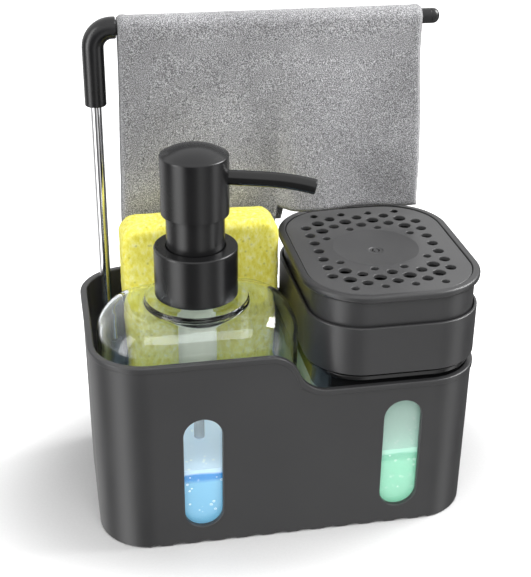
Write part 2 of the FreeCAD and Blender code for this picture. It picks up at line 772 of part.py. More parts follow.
def makePump():
    x, y = "pumpX", "pumpY"
    collar = turned("screw_collar", [
        ("neckRadius + threadGap", "0"),
        ("collarRadius", "0"),
        ("collarRadius", "collarHeight"),
        ("sleeveRadius + runGap", "collarHeight"),
        ("sleeveRadius + runGap", "collarHeight - collarPlate"),
        ("neckRadius + threadGap", "collarHeight - collarPlate"),
    ], x, y, "collarBase")
    roundEdges(collar, "collarPlate / 4", levelAt("collarHeight"))
    gasket = turned("neck_gasket", [
        ("cylinderRadius + threadGap", "0"),
        ("flangeRadius", "0"),
        ("flangeRadius", "gasketThick"),
        ("cylinderRadius + threadGap", "gasketThick"),
    ], x, y, "neckTop")
    sleeve = turned("neck_sleeve", [
        ("sleeveRadius - sleeveWall", "0"),
        ("flangeRadius", "0"),
        ("flangeRadius", "flangeThick"),
        ("sleeveRadius", "flangeThick"),
        ("sleeveRadius", "flangeThick + collarPlate + sleeveShow"),
        ("sleeveRadius - sleeveWall", "flangeThick + collarPlate + sleeveShow"),
    ], x, y, "cylinderTop")
    guide = turned("stem_guide", [
        ("stemRadius + runGap", "0"),
        ("cylinderBore", "0"),
        ("cylinderBore", "guideHeight"),
        ("sleeveRadius - sleeveWall", "guideHeight"),
        ("sleeveRadius - sleeveWall", "guideHeight + flangeThick"),
        ("stemRadius + runGap", "guideHeight + flangeThick"),
    ], x, y, "cylinderTop - guideHeight")
    barrel = pumpCylinder("pump_cylinder", "cylinderRadius", "cylinderBore", "flangeRadius", "cylinderLength",
                          x, y, "cylinderBase")
    ball = valveBall("inlet_ball", x, y, "cylinderBase")
    stem = turned("pump_stem", [
        ("stemBore", "0"),
        ("stemRadius", "0"),
        ("stemRadius", "spoutLevel - pistonBase - spoutBore - seatGap"),
        ("stemBore", "spoutLevel - pistonBase - spoutBore - seatGap"),
    ], x, y, "pistonBase")
    piston = turned("pump_piston", pistonSection("stemRadius", "cylinderBore"), x, y, "pistonBase")
    spring = makeSpring("pump_spring", "cylinderBore - springWire", "springWire", "springTurns", "springSeat",
                        "pistonBase", x, y)
    return [collar, gasket, sleeve, guide, barrel, ball, stem, piston, spring]


def spoutRun(label, radius):
    # A bar along the spout's line: out of the head with a slight fall, then a steeper tip
    body = newBody(label, "pumpX", "pumpY", "spoutLevel")
    body.Placement.Rotation = Rotation(Vector(0, 0, 1), -value("spoutAngle"))
    body.setExpression("Placement.Rotation.Angle", bound("-spoutAngle"))
    spine = sketchOn(body, label + "_line", "XZ_Plane")
    stops = [("0", "0"), ("spoutReach", "-spoutSlope"), ("spoutReach + spoutTip", "-spoutSlope - spoutDroop")]
    corners = [Vector(value(x), value(z), 0) for x, z in stops]
    for index in range(2):
        spine.addGeometry(Part.LineSegment(corners[index], corners[index + 1]), False)
    spine.addConstraint(Sketcher.Constraint("Coincident", 0, 2, 1, 1))
    pinPoint(spine, "start", 0, 1, *stops[0])
    pinPoint(spine, "kink", 0, 2, *stops[1])
    pinPoint(spine, "end", 1, 2, *stops[2])
    ring = sketchOn(body, label + "_ring", "YZ_Plane")
    ring.addGeometry(Part.Circle(Vector(0, 0, 0), Vector(0, 0, 1), value(radius)), False)
    ring.addConstraint(Sketcher.Constraint("Coincident", 0, 3, -1, 1))
    pin(ring, "round", radius, "Radius", 0)
    doc.recompute()
    pipe = body.newObject("PartDesign::AdditivePipe", label + "_pipe")
    pipe.Profile = ring
    pipe.Spine = (spine, ["Edge1", "Edge2"])
    pipe.Transition = "Right corner"
    doc.recompute()
    return body


def makeHead():
    # A hollow cap with a hub for the stem, a shallow dome on top and a hole for the spout
    blank = turned("head_blank", [
        ("stemRadius + runGap", "spoutRise - spoutBore"),
        ("stemRadius + runGap", "headCavity / 2"),
        ("stemRadius + hubWall", "headCavity / 2"),
        ("stemRadius + hubWall", "headCavity"),
        ("headRadius - headWall", "headCavity"),
        ("headRadius - headWall", "0"),
        ("headRadius", "0"),
        ("headRadius", "headHeight + headDome"),
        ("0", "headHeight + headDome"),
        ("0", "spoutRise - spoutBore"),
    ], "pumpX", "pumpY", "headBase")
    dome = doc.addObject("Part::Sphere", "head_dome")
    sphere = "(headRadius ^ 2 + headDome ^ 2) / (2 * headDome)"
    dome.setExpression("Radius", bound(sphere))
    place(dome, "pumpX", "pumpY", "headBase + headHeight + headDome - %s" % sphere)
    domed = combine("Common", "head_domed", blank, dome)
    doc.recompute()
    soft = doc.addObject("Part::Fillet", "head_soft")
    soft.Base = domed
    shoulder = levelAt("headBase + headHeight")
    radius = value("headRound")
    ends = [index for index, edge in enumerate(domed.Shape.Edges, start=1) if shoulder(edge)]
    soft.Edges = [(index, radius, radius) for index in ends]
    head = cut("pump_head", soft, spoutRun("spout_hole", "spoutRadius"))
    core = cylinder("spout_core", "stemRadius + hubWall", "headHeight", "pumpX", "pumpY", "headBase")
    spout = cut("spout", spoutRun("spout_outer", "spoutRadius"), spoutRun("spout_inner", "spoutBore"), core)
    return [head, spout]


# Press dispenser

def pressSlab(label, inset, base, height):
    # A block of the lid's outline, moved in all round
    return slab(label, "lidWidth - 2 * (%s)" % inset, "lidDepth - 2 * (%s)" % inset,
                "lidCorner - (%s)" % inset, base, height, "pressX")


def plateSlab(label, inset, base, height):
    # A block of the press plate's outline, moved in all round
    return slab(label, "plateWidth - 2 * (%s)" % inset, "plateDepth - 2 * (%s)" % inset,
                "plateCorner - (%s)" % inset, base, height, "pressX")


def pressCylinder(label, radius, base, top):
    return cylinder(label, radius, "%s - (%s)" % (top, base), "pressX", "0", base)


def makeContainer():
    outer = pressSlab("container_outer", "containerInset", "containerBase", "lipTop - containerBase")
    roundEdges(outer, "containerHeel", levelAt("0"))
    lip = pressSlab("container_lip", "lipInset", "lipTop - lipThick", "lipThick")
    roundEdges(lip, "lidRound", levelAt("lipThick"))
    cavity = pressSlab("container_cavity", "containerInset + containerWall", "containerBase + containerWall",
                       "lipTop - containerBase")
    roundEdges(cavity, "containerHeel - containerWall", levelAt("0"))
    container = cut("soap_container", fuse("container_blank", outer, lip), cavity)
    gasket = cut("lid_gasket", pressSlab("gasket_outer", "containerInset", "lipTop", "gasketThick"),
                 pressSlab("gasket_inner", "containerInset + containerWall", "lipTop", "gasketThick"))
    return container, gasket, cavity


def makeLid():
    # The ring with its deck, and a spigot that keeps it in the container's mouth
    ring = pressSlab("lid_outer", "0 * lidWall", "lidBase", "lidHeight")
    roundEdges(ring, "lidRound", levelAt("0"))
    roundEdges(ring, "lidRound", levelAt("lidHeight"))
    hollow = pressSlab("lid_hollow", "lidWall", "deckTop", "lidHeight")
    inset = "containerInset + containerWall + spigotGap"
    foot = "lidBase - spigotDepth"
    spigotOuter = pressSlab("spigot_outer", inset, foot, "spigotDepth + lidDeck / 2")
    spigotInner = pressSlab("spigot_inner", inset + " + spigotWall", foot, "spigotDepth")
    spigot = cut("lid_spigot", spigotOuter, spigotInner)
    hole = pressCylinder("lid_hole", "pressCylinderRadius", foot, "lidTop")
    return cut("dispenser_lid", fuse("lid_blank", cut("lid_ring", ring, hollow), spigot), hole)


def makeFrame():
    # Flange and skirt in one, with a pan under the plate and a hub for the stem
    flange = plateSlab("frame_flange", "0 * plateRim", "flangeBase", "flangeEdge")
    roundEdges(flange, "flangeRound", levelAt("0"))
    roundEdges(flange, "flangeRound", levelAt("flangeEdge"))
    skirt = pressSlab("frame_skirt", "skirtInset", "skirtBase", "skirtHeight + flangeEdge / 2")
    wall = "skirtInset + skirtWall"
    above = pressSlab("frame_pan", wall, "panTop", "plateTop - panTop + flangeEdge")
    below = pressSlab("frame_under", wall, "skirtBase - flangeEdge", "panBase - skirtBase + flangeEdge")
    recess = plateSlab("frame_recess", "plateRim", "drainBase", "plateTop - drainBase + flangeEdge")
    shell = cut("frame_shell", fuse("frame_blank", flange, skirt), above, below, recess)
    hub = pressCylinder("frame_hub", "pressStemRadius + pressHubWall", "panBase", "dishBase")
    bore = pressCylinder("frame_bore", "pressStemRadius", "panBase - panFloor", "dishBase")
    return cut("press_frame", fuse("frame_with_hub", shell, hub), bore)


def holeSpots():
    # A staggered grid that leaves the dish free, with large holes mid-band and small ones at its edges
    across = value("holePitchAcross")
    along = value("holePitchAlong")
    columns = int(value("holeFieldAcross") / across)
    rows = int(value("holeFieldAlong") / along)
    spots = []
    for column in range(-columns, columns + 1):
        shift = 0.5 if column % 2 else 0.0
        for row in range(-rows - 1, rows + 1):
            x = column * across
            y = (row + shift) * along
            if abs(y) > value("holeFieldAlong") or abs(x) + abs(y) > value("holeFieldCorner"):
                continue
            reach = math.hypot(x, y)
            if reach < value("holeFreeRadius"):
                continue
            inner = reach < value("holeFreeRadius + holeSmallBand")
            edge = inner or abs(y) > value("holeFieldAlong") - along / 2
            kind = "holeMedium" if shift == 0 else "holeSmall" if edge else "holeLarge"
            spots.append((column, row + shift, kind))
    return spots


def makeDrainPlate():
    # The perforated plate with a shallow dish round its outlet
    inset = "plateRim + plateGap"
    body = plateSlab("plate_sheet", inset, "drainBase", "plateThick")
    sketch = sketchOn(body, "plate_holes", "XY_Plane")
    for index, (column, row, kind) in enumerate(holeSpots()):
        x = "%d * holePitchAcross" % column if column else "0"
        y = "%g * holePitchAlong" % row if row else "0"
        centre = Vector(value(x), value(y), 0)
        sketch.addGeometry(Part.Circle(centre, Vector(0, 0, 1), value(kind) / 2), False)
        pinPoint(sketch, "hole%d" % index, index, 3, x, y)
        pin(sketch, "size%d" % index, kind + " / 2", "Radius", index)
    doc.recompute()
    whole = body.Shape.Volume
    pocket = body.newObject("PartDesign::Pocket", "plate_perforation")
    pocket.Profile = sketch
    pocket.Type = "ThroughAll"
    pocket.Reversed = True
    doc.recompute()
    print("drain plate loses", round(whole - body.Shape.Volume), "cubic mm to", len(holeSpots()), "holes")
    back = pressCylinder("dish_back", "dishRadius", "dishBase", "drainBase + plateThick / 2")
    dish = doc.addObject("Part::Sphere", "dish_ball")
    dish.setExpression("Radius", bound("dishSphere"))
    place(dish, "pressX", "0", "drainTop - dishDepth + dishSphere")
    outlet = pressCylinder("plate_outlet", "nozzleRadius", "dishBase", "drainTop")
    return cut("drain_plate", fuse("plate_blank", body, back), dish, outlet)


def makeNozzle():
    # A small plug with two crescent slots
    top = "drainTop - dishDepth"
    plug = pressCylinder("nozzle_plug", "nozzleRadius", "dishBase", top)
    ring = cut("nozzle_ring", pressCylinder("slot_outer", "nozzleSlotOuter", "dishBase", top),
               pressCylinder("slot_inner", "nozzleSlotInner", "dishBase", top))
    bridge = block("nozzle_bridge", "nozzleBridge", "2 * nozzleRadius", "drainTop - dishBase",
                   "pressX - nozzleBridge / 2", "-nozzleRadius", "dishBase")
    return cut("outlet_nozzle", plug, cut("nozzle_slots", ring, bridge))


def makePress():
    x, y = "pressX", "0"
    barrel = pumpCylinder("press_cylinder", "pressCylinderRadius", "pressBore", "pressFlange",
                          "pressCylinderLength", x, y, "pressCylinderBase")
    guide = turned("press_guide", [
        ("pressStemRadius + runGap", "0"),
        ("pressBore", "0"),
        ("pressBore", "guideHeight"),
        ("pressStemRadius + runGap", "guideHeight"),
    ], x, y, "pressCylinderTop - guideHeight")
    ball = valveBall("press_ball", x, y, "pressCylinderBase")
    stem = turned("press_stem", [
        ("stemBore", "0"),
        ("pressStemRadius", "0"),
        ("pressStemRadius", "dishBase - pressPistonBase"),
        ("stemBore", "dishBase - pressPistonBase"),
    ], x, y, "pressPistonBase")
    piston = turned("press_piston", pistonSection("pressStemRadius", "pressBore"), x, y, "pressPistonBase")
    spring = makeSpring("press_spring", "pressSpringRadius", "pressSpringWire", "pressSpringTurns",
                        "pressCylinderTop", "panBase", x, y)
    return [barrel, guide, ball, stem, piston, spring]


# Towel rack

def makeRack():
    bush = turned("socket_bush", [
        ("0", "0"),
        ("bushRadius", "0"),
        ("bushRadius", "bossTop - bushBase"),
        ("rodRadius + runGap", "bossTop - bushBase"),
        ("rodRadius + runGap", "bushFloor"),
        ("0", "bushFloor"),
    ], "rodX", "rodY", "bushBase")
    foot = "bushBase + bushFloor + seatGap"
    rod = cylinder("rack_rod", "rodRadius", "elbowFoot + rodGrip - (%s)" % foot, "rodX", "rodY", foot)
    leg = cylinder("elbow_leg", "elbowRadius", "elbowLeg", "rodX", "rodY", "elbowFoot")
    bend = doc.addObject("Part::Torus", "elbow_bend")
    bend.setExpression("Radius1", bound("elbowBend"))
    bend.setExpression("Radius2", bound("elbowRadius"))
    bend.Angle3 = 90
    bend.Placement.Rotation = Rotation(Vector(1, 0, 0), 90).multiply(Rotation(Vector(0, 0, 1), 90))
    place(bend, "rodX + elbowBend", "rodY", "bendStart")
    arm = cylinder("elbow_arm", "elbowRadius", "elbowReach", "rodX + elbowBend", "rodY", "barHeight", alongX)
    socket = cylinder("rod_socket", "rodRadius", "rodGrip", "rodX", "rodY", "elbowFoot")
    start = "elbowEnd - barGrip"
    mouth = cylinder("bar_socket", "barRadius", "barGrip", start, "rodY", "barHeight", alongX)
    elbow = cut("rack_elbow", fuse("elbow_blank", leg, bend, arm), socket, mouth)
    length = "barEnd - (%s)" % start
    bar = cut("towel_bar", cylinder("bar_outer", "barRadius", length, start, "rodY", "barHeight", alongX),
              cylinder("bar_bore", "barRadius - barWall", length, start, "rodY", "barHeight", alongX))
    cap = turned("bar_cap", [
        ("0", "0"),
        ("barRadius - barWall", "0"),
        ("barRadius - barWall", "capPlug"),
        ("barRadius", "capPlug"),
        ("barRadius", "capPlug + capLength"),
        ("0", "capPlug + capLength"),
    ], "barEnd - capPlug", "rodY", "barHeight")
    roundEdges(cap, "capRound", levelAt("capPlug + capLength"))
    cap.Placement.Rotation = alongX
    return [bush, rod, elbow, bar, cap]


# Towel and sponge

def clothSection(level, left, width, near, far, depth):
    # A strip across the cloth, waved to the far side between its ends by equal arcs
    waves = 2 * int(round(value("towelFolds")))
    step = width / waves
    edges = []
    for face, order in ((near, range(waves)), (far, reversed(range(waves)))):
        for index in order:
            start = Vector(left + index * step, face + depth / 2, level)
            end = start + Vector(step, 0, 0)
            crest = (start + end) / 2 + Vector(0, depth / 2 if index % 2 else -depth / 2, 0)
            ends = (start, end) if face == near else (end, start)
            edges.append(Part.Arc(ends[0], crest, ends[1]) if depth else Part.LineSegment(*ends))
    shapes = [edge.toShape() for edge in edges]
    corner = shapes[waves].Vertexes[0].Point
    shapes.insert(waves, Part.makeLine(shapes[waves - 1].Vertexes[-1].Point, corner))
    shapes.append(Part.makeLine(shapes[-1].Vertexes[-1].Point, shapes[0].Vertexes[0].Point))
    return Part.Wire(shapes)


def clothPanel(label, drop, near, far):
    # One side of the hanging cloth: straight at the bar, with its folds deepest at the hem
    left = value("towelLeft")
    width = value("towelWidth")
    flare = value("towelFlare")
    depth = value("towelFoldDepth")
    top = value("barHeight")
    hem = top - value(drop)
    upper = clothSection(top, left, width, value(near), value(far), 0)
    lower = clothSection(hem, left - flare, width + 2 * flare, value(near), value(far), depth)
    item = doc.addObject("Part::Feature", label)
    item.Shape = Part.makeLoft([upper, lower], True, True)
    return item


def makeTowel():
    # A thick cloth over the bar, with a longer front panel
    outer = cylinder("towel_outer", "towelOuter", "towelWidth", "towelLeft", "rodY", "barHeight", alongX)
    inner = cylinder("towel_inner", "towelInner", "towelWidth", "towelLeft", "rodY", "barHeight", alongX)
    lower = block("towel_lower", "towelWidth", "2 * towelOuter", "towelOuter", "towelLeft",
                  "rodY - towelOuter", "barHeight - towelOuter")
    front = clothPanel("towel_front", "towelFront", "rodY - towelOuter", "rodY - towelInner")
    back = clothPanel("towel_rear", "towelBack", "rodY + towelInner", "rodY + towelOuter")
    return fuse("towel", cut("towel_fold", outer, inner, lower), front, back)


def makeSponge():
    body = newBody("sponge", "spongeX", "spongeY", "spongeBase + spongeHeight / 2")
    sketch = sketchOn(body, "sponge_outline", "XZ_Plane")
    roundedRect(sketch, "spongeWidth", "spongeHeight", "spongeCorner")
    pad(body, sketch, "spongeThick", both=True)
    face = value("spongeThick") / 2

    def onFace(edge):
        box = edge.BoundBox
        return abs(box.YMax - box.YMin) < 1e-4 and abs(abs(box.YMax) - face) < 1e-4

    roundEdges(body, "spongeRound", onFace)
    return body


def buildAll():
    fillSheet()
    pieces = [makeTub()]
    bottle, bottleCavity = makeBottle()
    dipTube, dipSolid = tubePiece("dip_tube", "cylinderBase + socketTop",
                                  "bottleBase + bottleWall + tubeClear", "pumpX", "pumpY")
    handSoap = makeFilling("hand_soap", bottleCavity, dipSolid, "soapLevel", "bottleBase", "bottleWidth",
                           "bottleDepth", "pumpX", "pumpY")
    pieces += [bottle, dipTube, handSoap]
    pieces += makePump()
    pieces += makeHead()
    container, gasket, containerCavity = makeContainer()
    pickup, pickupSolid = tubePiece("pickup_tube", "pressCylinderBase + socketTop",
                                    "containerBase + containerWall + tubeClear", "pressX", "0")
    dishSoap = makeFilling("dish_soap", containerCavity, pickupSolid, "dishSoapLevel", "containerBase",
                           "lidWidth", "lidDepth", "pressX", "0")
    pieces += [container, gasket, pickup, dishSoap, makeLid(), makeFrame(), makeDrainPlate(), makeNozzle()]
    pieces += makePress()
    pieces += makeRack()
    pieces += [makeTowel(), makeSponge()]
    doc.recompute()
    return pieces


def writeParts(pieces):
    failed = [item.Label for item in doc.Objects if "Invalid" in item.State or "Error" in item.State]
    failed += [piece.Label for piece in pieces if piece.Shape.isNull() or not piece.Shape.isValid()]
    if failed:
        raise RuntimeError("not built: " + ", ".join(failed))
    os.makedirs("parts", exist_ok=True)
    for piece in pieces:
        piece.Shape.exportStep("parts/%s.step" % piece.Label)
        print(piece.Label, round(piece.Shape.Volume), "cubic mm,", len(piece.Shape.Solids), "solid")


writeParts(buildAll())
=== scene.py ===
import itertools
import math
import bmesh
import bpy
import numpy as np
from mathutils import Matrix, Vector
from mathutils.geometry import delaunay_2d_cdt


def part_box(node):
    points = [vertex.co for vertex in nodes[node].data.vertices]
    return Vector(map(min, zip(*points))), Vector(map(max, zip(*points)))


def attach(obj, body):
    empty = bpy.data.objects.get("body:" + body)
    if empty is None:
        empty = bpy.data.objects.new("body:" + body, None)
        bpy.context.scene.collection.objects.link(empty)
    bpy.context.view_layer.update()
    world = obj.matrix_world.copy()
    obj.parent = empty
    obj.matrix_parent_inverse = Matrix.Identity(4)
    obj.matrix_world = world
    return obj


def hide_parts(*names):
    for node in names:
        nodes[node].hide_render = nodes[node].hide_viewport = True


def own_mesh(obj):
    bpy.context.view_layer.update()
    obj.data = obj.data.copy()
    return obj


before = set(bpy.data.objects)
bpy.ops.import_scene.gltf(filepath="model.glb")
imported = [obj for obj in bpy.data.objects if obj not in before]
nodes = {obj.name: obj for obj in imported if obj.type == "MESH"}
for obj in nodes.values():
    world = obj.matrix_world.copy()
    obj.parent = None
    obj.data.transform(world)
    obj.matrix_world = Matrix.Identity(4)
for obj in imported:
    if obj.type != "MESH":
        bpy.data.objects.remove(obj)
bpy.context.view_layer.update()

# A soap caddy dressed over its solids: shapes are worked out in millimetres and stored in metres
mm = 0.001
print("frame loaded, %d nodes" % len(nodes))


def stations(stops, step):
    # values that pass through every stop, evenly spread between one stop and the next
    runs = [np.linspace(a, b, max(1, round((b - a) / step)) + 1)[:-1] for a, b in zip(stops, stops[1:])]
    return np.concatenate(runs + [stops[-1:]])


def softened(corners, count=6):
    # a profile with its corners as tangent arcs, each starting radius * tan(turn / 2) before the corner
    points = [np.array(corners[0][:2], float)]
    for before, (a, b, radius), after in zip(corners, corners[1:], corners[2:]):
        tip = np.array((a, b), float)
        inward = tip - before[:2]
        inward /= np.linalg.norm(inward)
        outward = np.array(after[:2], float) - tip
        outward /= np.linalg.norm(outward)
        turn = math.acos(np.clip(inward @ outward, -1, 1))
        side = outward - inward * (inward @ outward)
        side /= max(np.linalg.norm(side), 1e-9)
        sweep = np.linspace(0, turn, count + 1)[:, None]
        start = tip - inward * radius * math.tan(turn / 2)
        points.extend(start + radius * (side + np.sin(sweep) * inward - np.cos(sweep) * side))
    return np.array(points + [np.array(corners[-1][:2], float)])


def profileOf(sizes, corners, count=6):
    # a softened profile whose corners may name their values in a dictionary of sizes
    return softened([[sizes.get(value, value) for value in corner] for corner in corners], count)


def roundedLoop(width, depth, corner, x=0.0, y=0.0, across=None, turns=14, sides=1):
    # stations round a rounded rectangle, as spine points and outward normals:
    # the outline moved in by d is spine + (corner - d) * normal
    halfX = width / 2 - corner
    halfY = depth / 2 - corner
    across = np.linspace(-halfX, halfX, 9) if across is None else across
    along = np.linspace(-halfY, halfY, sides + 1)[1:-1]
    turn = np.linspace(0, np.pi / 2, turns + 1)
    inner = across[1:-1]
    bend = np.ones_like(turn)
    spineX = [-halfX * bend, inner, halfX * bend, halfX + 0 * along, halfX * bend, inner[::-1],
              -halfX * bend, -halfX + 0 * along]
    spineY = [-halfY * bend, -halfY + 0 * inner, -halfY * bend, along, halfY * bend, halfY + 0 * inner,
              halfY * bend, along[::-1]]
    quarter = np.pi / 2
    angle = [2 * quarter + turn, 3 * quarter + 0 * inner, 3 * quarter + turn, 0 * along, turn,
             quarter + 0 * inner, quarter + turn, 2 * quarter + 0 * along]
    angle = np.concatenate(angle)
    spine = np.column_stack([x + np.concatenate(spineX), y + np.concatenate(spineY)])
    normal = np.column_stack([np.cos(angle), np.sin(angle)])
    return {"spine": spine, "normal": normal, "corner": corner, "centre": np.array([x, y]),
            "half": 2 * (turns + 1) + len(inner), "sides": sides}


def raised(flat, profile):
    # rows of flat points, each at its height in the profile
    level = np.broadcast_to(profile[:, 1, None, None], flat.shape[:2] + (1,))
    return np.concatenate([flat, level], axis=2)


def carried(loop, profile):
    # a profile of inset and height carried round a loop
    profile = np.asarray(profile, float)
    return raised(loop["spine"] + (loop["corner"] - profile[:, 0, None, None]) * loop["normal"], profile)


def circled(loop, profile):
    # a profile of radius and height on the bearings of a loop's stations, seen from its centre
    profile = np.asarray(profile, float)
    way = loop["spine"] + loop["corner"] * loop["normal"] - loop["centre"]
    way = way / np.linalg.norm(way, axis=1, keepdims=True)
    return raised(loop["centre"] + profile[:, 0, None, None] * way, profile)


def spanned(loop, row, divisions=1):
    # a ladder that fills an outline, from its front half to its back half
    half = loop["half"]
    first = half + loop["sides"] - 1
    front = row[:half]
    back = row[first:first + half][::-1]
    share = np.linspace(0, 1, divisions + 1)[:, None, None]
    return front + (back - front) * share


def heelRows(inset, base, radius, count):
    # rows of inset and height up a quarter round, from its foot to the wall above it
    turn = np.linspace(0, np.pi / 2, count)
    return [(inset + radius * (1 - math.sin(t)), base + radius * (1 - math.cos(t))) for t in turn]


def turned(profile, x=0.0, y=0.0, count=64):
    # a profile of radius and height swung round an upright axis
    profile = np.asarray(profile, float)
    angle = np.linspace(0, 2 * np.pi, count, endpoint=False)
    grid = np.empty((len(profile), count, 3))
    grid[..., 0] = x + profile[:, 0, None] * np.cos(angle)
    grid[..., 1] = y + profile[:, 0, None] * np.sin(angle)
    grid[..., 2] = profile[:, 1, None]
    return grid


def swept(path, profile, side, count=40):
    # a profile of distance and radius carried along a path whose bends lie square to one side
    profile = np.asarray(profile, float)
    reach = np.concatenate([[0], np.cumsum(np.linalg.norm(np.diff(path, axis=0), axis=1))])
    way = np.gradient(path, reach, axis=0)
    at = np.column_stack([np.interp(profile[:, 0], reach, path[:, axis]) for axis in range(3)])
    on = np.column_stack([np.interp(profile[:, 0], reach, way[:, axis]) for axis in range(3)])
    on /= np.linalg.norm(on, axis=1, keepdims=True)
    up = np.cross(on, side)
    angle = np.linspace(0, 2 * np.pi, count, endpoint=False)[:, None]
    ring = np.cos(angle) * np.asarray(side) + np.sin(angle) * up[:, None, :]
    return at[:, None, :] + profile[:, 1, None, None] * ring


def eased(share):
    # a share clipped to 0 to 1 that starts and ends level
    share = np.clip(share, 0, 1)
    return share * share * (3 - 2 * share)


def cloudy(points, size, seed):
    # smooth noise from -1 to 1: random values on a lattice, blended by eased shares of a cell's corners
    table = np.random.default_rng(seed).random(4096)
    cell = np.asarray(points) / size
    base = np.floor(cell).astype(int)
    share = eased(cell - base)
    total = np.zeros(cell.shape[:-1])
    for corner in itertools.product((0, 1), repeat=3):
        weight = np.prod(np.where(corner, share, 1 - share), axis=-1)
        key = (base + corner) @ np.array((73, 1789, 28351))
        total += weight * table[key % 4096]
    return 2 * total - 1


def patch(grid, wrap=True, keep=None):
    # points and quads of a grid, closed round its columns if wrapped; keep masks the quads
    rows, columns = grid.shape[:2]
    index = np.arange(rows * columns).reshape(rows, columns)
    index = np.hstack([index, index[:, :1]]) if wrap else index
    quads = np.stack([index[:-1, :-1], index[:-1, 1:], index[1:, 1:], index[1:, :-1]], axis=-1)
    quads = quads.reshape(-1, 4) if keep is None else quads[keep]
    return grid.reshape(-1, 3), quads.tolist()


def addPiece(name, patches, material, body, replaced=(), spread=None):
    # patches joined along shared edges into one mesh with faces outwards; spread maps a cloth laid flat
    points = np.concatenate([p for p, quads in patches]) * mm
    starts = np.cumsum([0] + [len(p) for p, quads in patches])
    faces = [[corner + start for corner in face]
             for (p, quads), start in zip(patches, starts) for face in quads]
    mesh = bpy.data.meshes.new(name)
    mesh.from_pydata(points.tolist(), [], faces)
    if spread is not None:
        layer = mesh.uv_layers.new(name="cut")
        corners = np.empty(len(mesh.loops), int)
        mesh.loops.foreach_get("vertex_index", corners)
        layer.data.foreach_set("uv", spread[corners].astype(np.float32).ravel())
    work = bmesh.new()
    work.from_mesh(mesh)
    bmesh.ops.remove_doubles(work, verts=work.verts, dist=2e-6)
    bmesh.ops.dissolve_degenerate(work, edges=work.edges, dist=1e-7)
    bmesh.ops.recalc_face_normals(work, faces=work.faces)
    work.to_mesh(mesh)
    work.free()
    mesh.polygons.foreach_set("use_smooth", np.ones(len(mesh.polygons), bool))
    mesh.materials.append(material)
    piece = bpy.data.objects.new(name, mesh)
    bpy.context.scene.collection.objects.link(piece)
    crease = piece.modifiers.new("even shading", "WEIGHTED_NORMAL")
    crease.weight = 50
    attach(piece, body)
    if replaced:
        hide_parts(*replaced)
    print("  %s: %d faces" % (name, len(mesh.polygons)))
    return piece


# Finishes

def newGroup(name, inputs, outputs):
    tree = bpy.data.node_groups.new(name, "ShaderNodeTree")
    for label, kind, value in inputs:
        socket = tree.interface.new_socket(label, in_out="INPUT", socket_type=kind)
        if value is not None:
            socket.default_value = value
    for label, kind in outputs:
        tree.interface.new_socket(label, in_out="OUTPUT", socket_type=kind)
    return tree, tree.nodes.new("NodeGroupInput"), tree.nodes.new("NodeGroupOutput")


def addNode(tree, kind, links=None, **settings):
    # a node with its settings and values; links name what feeds each socket
    node = tree.nodes.new(kind)
    for label, value in settings.items():
        if hasattr(node, label):
            setattr(node, label, value)
        else:
            node.inputs[label].default_value = value
    for label, source in (links or {}).items():
        tree.links.new(source, node.inputs[label])
    return node


def rampOf(tree, source, stops):
    # a colour ramp with the given stops of place and colour
    ramp = tree.nodes.new("ShaderNodeValToRGB")
    tree.links.new(source, ramp.inputs["Fac"])
    band = ramp.color_ramp
    for index, (place, colour) in enumerate(stops):
        stop = band.elements[index] if index < 2 else band.elements.new(place)
        stop.position = place
        stop.color = (*colour, 1.0) if len(colour) == 3 else (colour[0],) * 3 + (1.0,)
    return ramp.outputs["Color"]


def noiseOf(tree, place, scale, **values):
    return addNode(tree, "ShaderNodeTexNoise", {"Vector": place}, Scale=scale, **values).outputs["Fac"]


def rangeOf(tree, source, low, high, start=0.0, end=1.0, **settings):
    # a value from low to high made one from start to end
    node = addNode(tree, "ShaderNodeMapRange", {"Value": source}, **settings)
    for socket, value in zip(node.inputs[1:5], (low, high, start, end)):
        socket.default_value = value
    return node.outputs["Result"]


def multiplied(tree, first, second, share=1.0):
    # one colour darkened by another
    mix = addNode(tree, "ShaderNodeMix", {"A": first, "B": second}, data_type="RGBA", blend_type="MULTIPLY",
        Factor=share)
    return mix.outputs["Result"]


# moulded surface: fine grain and a broad patchiness, both from noise on object coordinates
grainGroup, grainIn, grainOut = newGroup("mouldedGrain", [("Place", "NodeSocketVector", None),
    ("Fine", "NodeSocketFloat", 2600.0), ("Broad", "NodeSocketFloat", 28.0)],
    [("Height", "NodeSocketFloat"), ("Patch", "NodeSocketFloat")])
for size, result, detail in (("Fine", "Height", 3.0), ("Broad", "Patch", 4.0)):
    feeds = {"Vector": grainIn.outputs["Place"], "Scale": grainIn.outputs[size]}
    grain = addNode(grainGroup, "ShaderNodeTexNoise", feeds, Detail=detail)
    grainGroup.links.new(grain.outputs["Fac"], grainOut.inputs[result])


def newMaterial(name, **values):
    material = bpy.data.materials.new(name)
    material.use_nodes = True
    tree = material.node_tree
    shader = tree.nodes["Principled BSDF"]
    for label, value in values.items():
        shader.inputs[label.replace("_", " ")].default_value = value
    place = tree.nodes.new("ShaderNodeTexCoord").outputs["Object"]
    return material, tree, shader, place


def mouldedFinish(name, dark, light, rough, grain=0.06, fine=2600.0, broad=28.0, **values):
    # plastic whose colour and roughness drift a little, with a fine moulded grain
    material, tree, shader, place = newMaterial(name, **values)
    group = addNode(tree, "ShaderNodeGroup", {"Place": place}, node_tree=grainGroup, Fine=fine, Broad=broad)
    tree.links.new(rampOf(tree, group.outputs["Patch"], [(0.3, dark), (0.7, light)]),
        shader.inputs["Base Color"])
    tree.links.new(rangeOf(tree, group.outputs["Patch"], 0.3, 0.7, *rough), shader.inputs["Roughness"])
    bump = addNode(tree, "ShaderNodeBump", {"Height": group.outputs["Height"]}, Strength=grain,
        Distance=0.0002)
    tree.links.new(bump.outputs["Normal"], shader.inputs["Normal"])
    return material


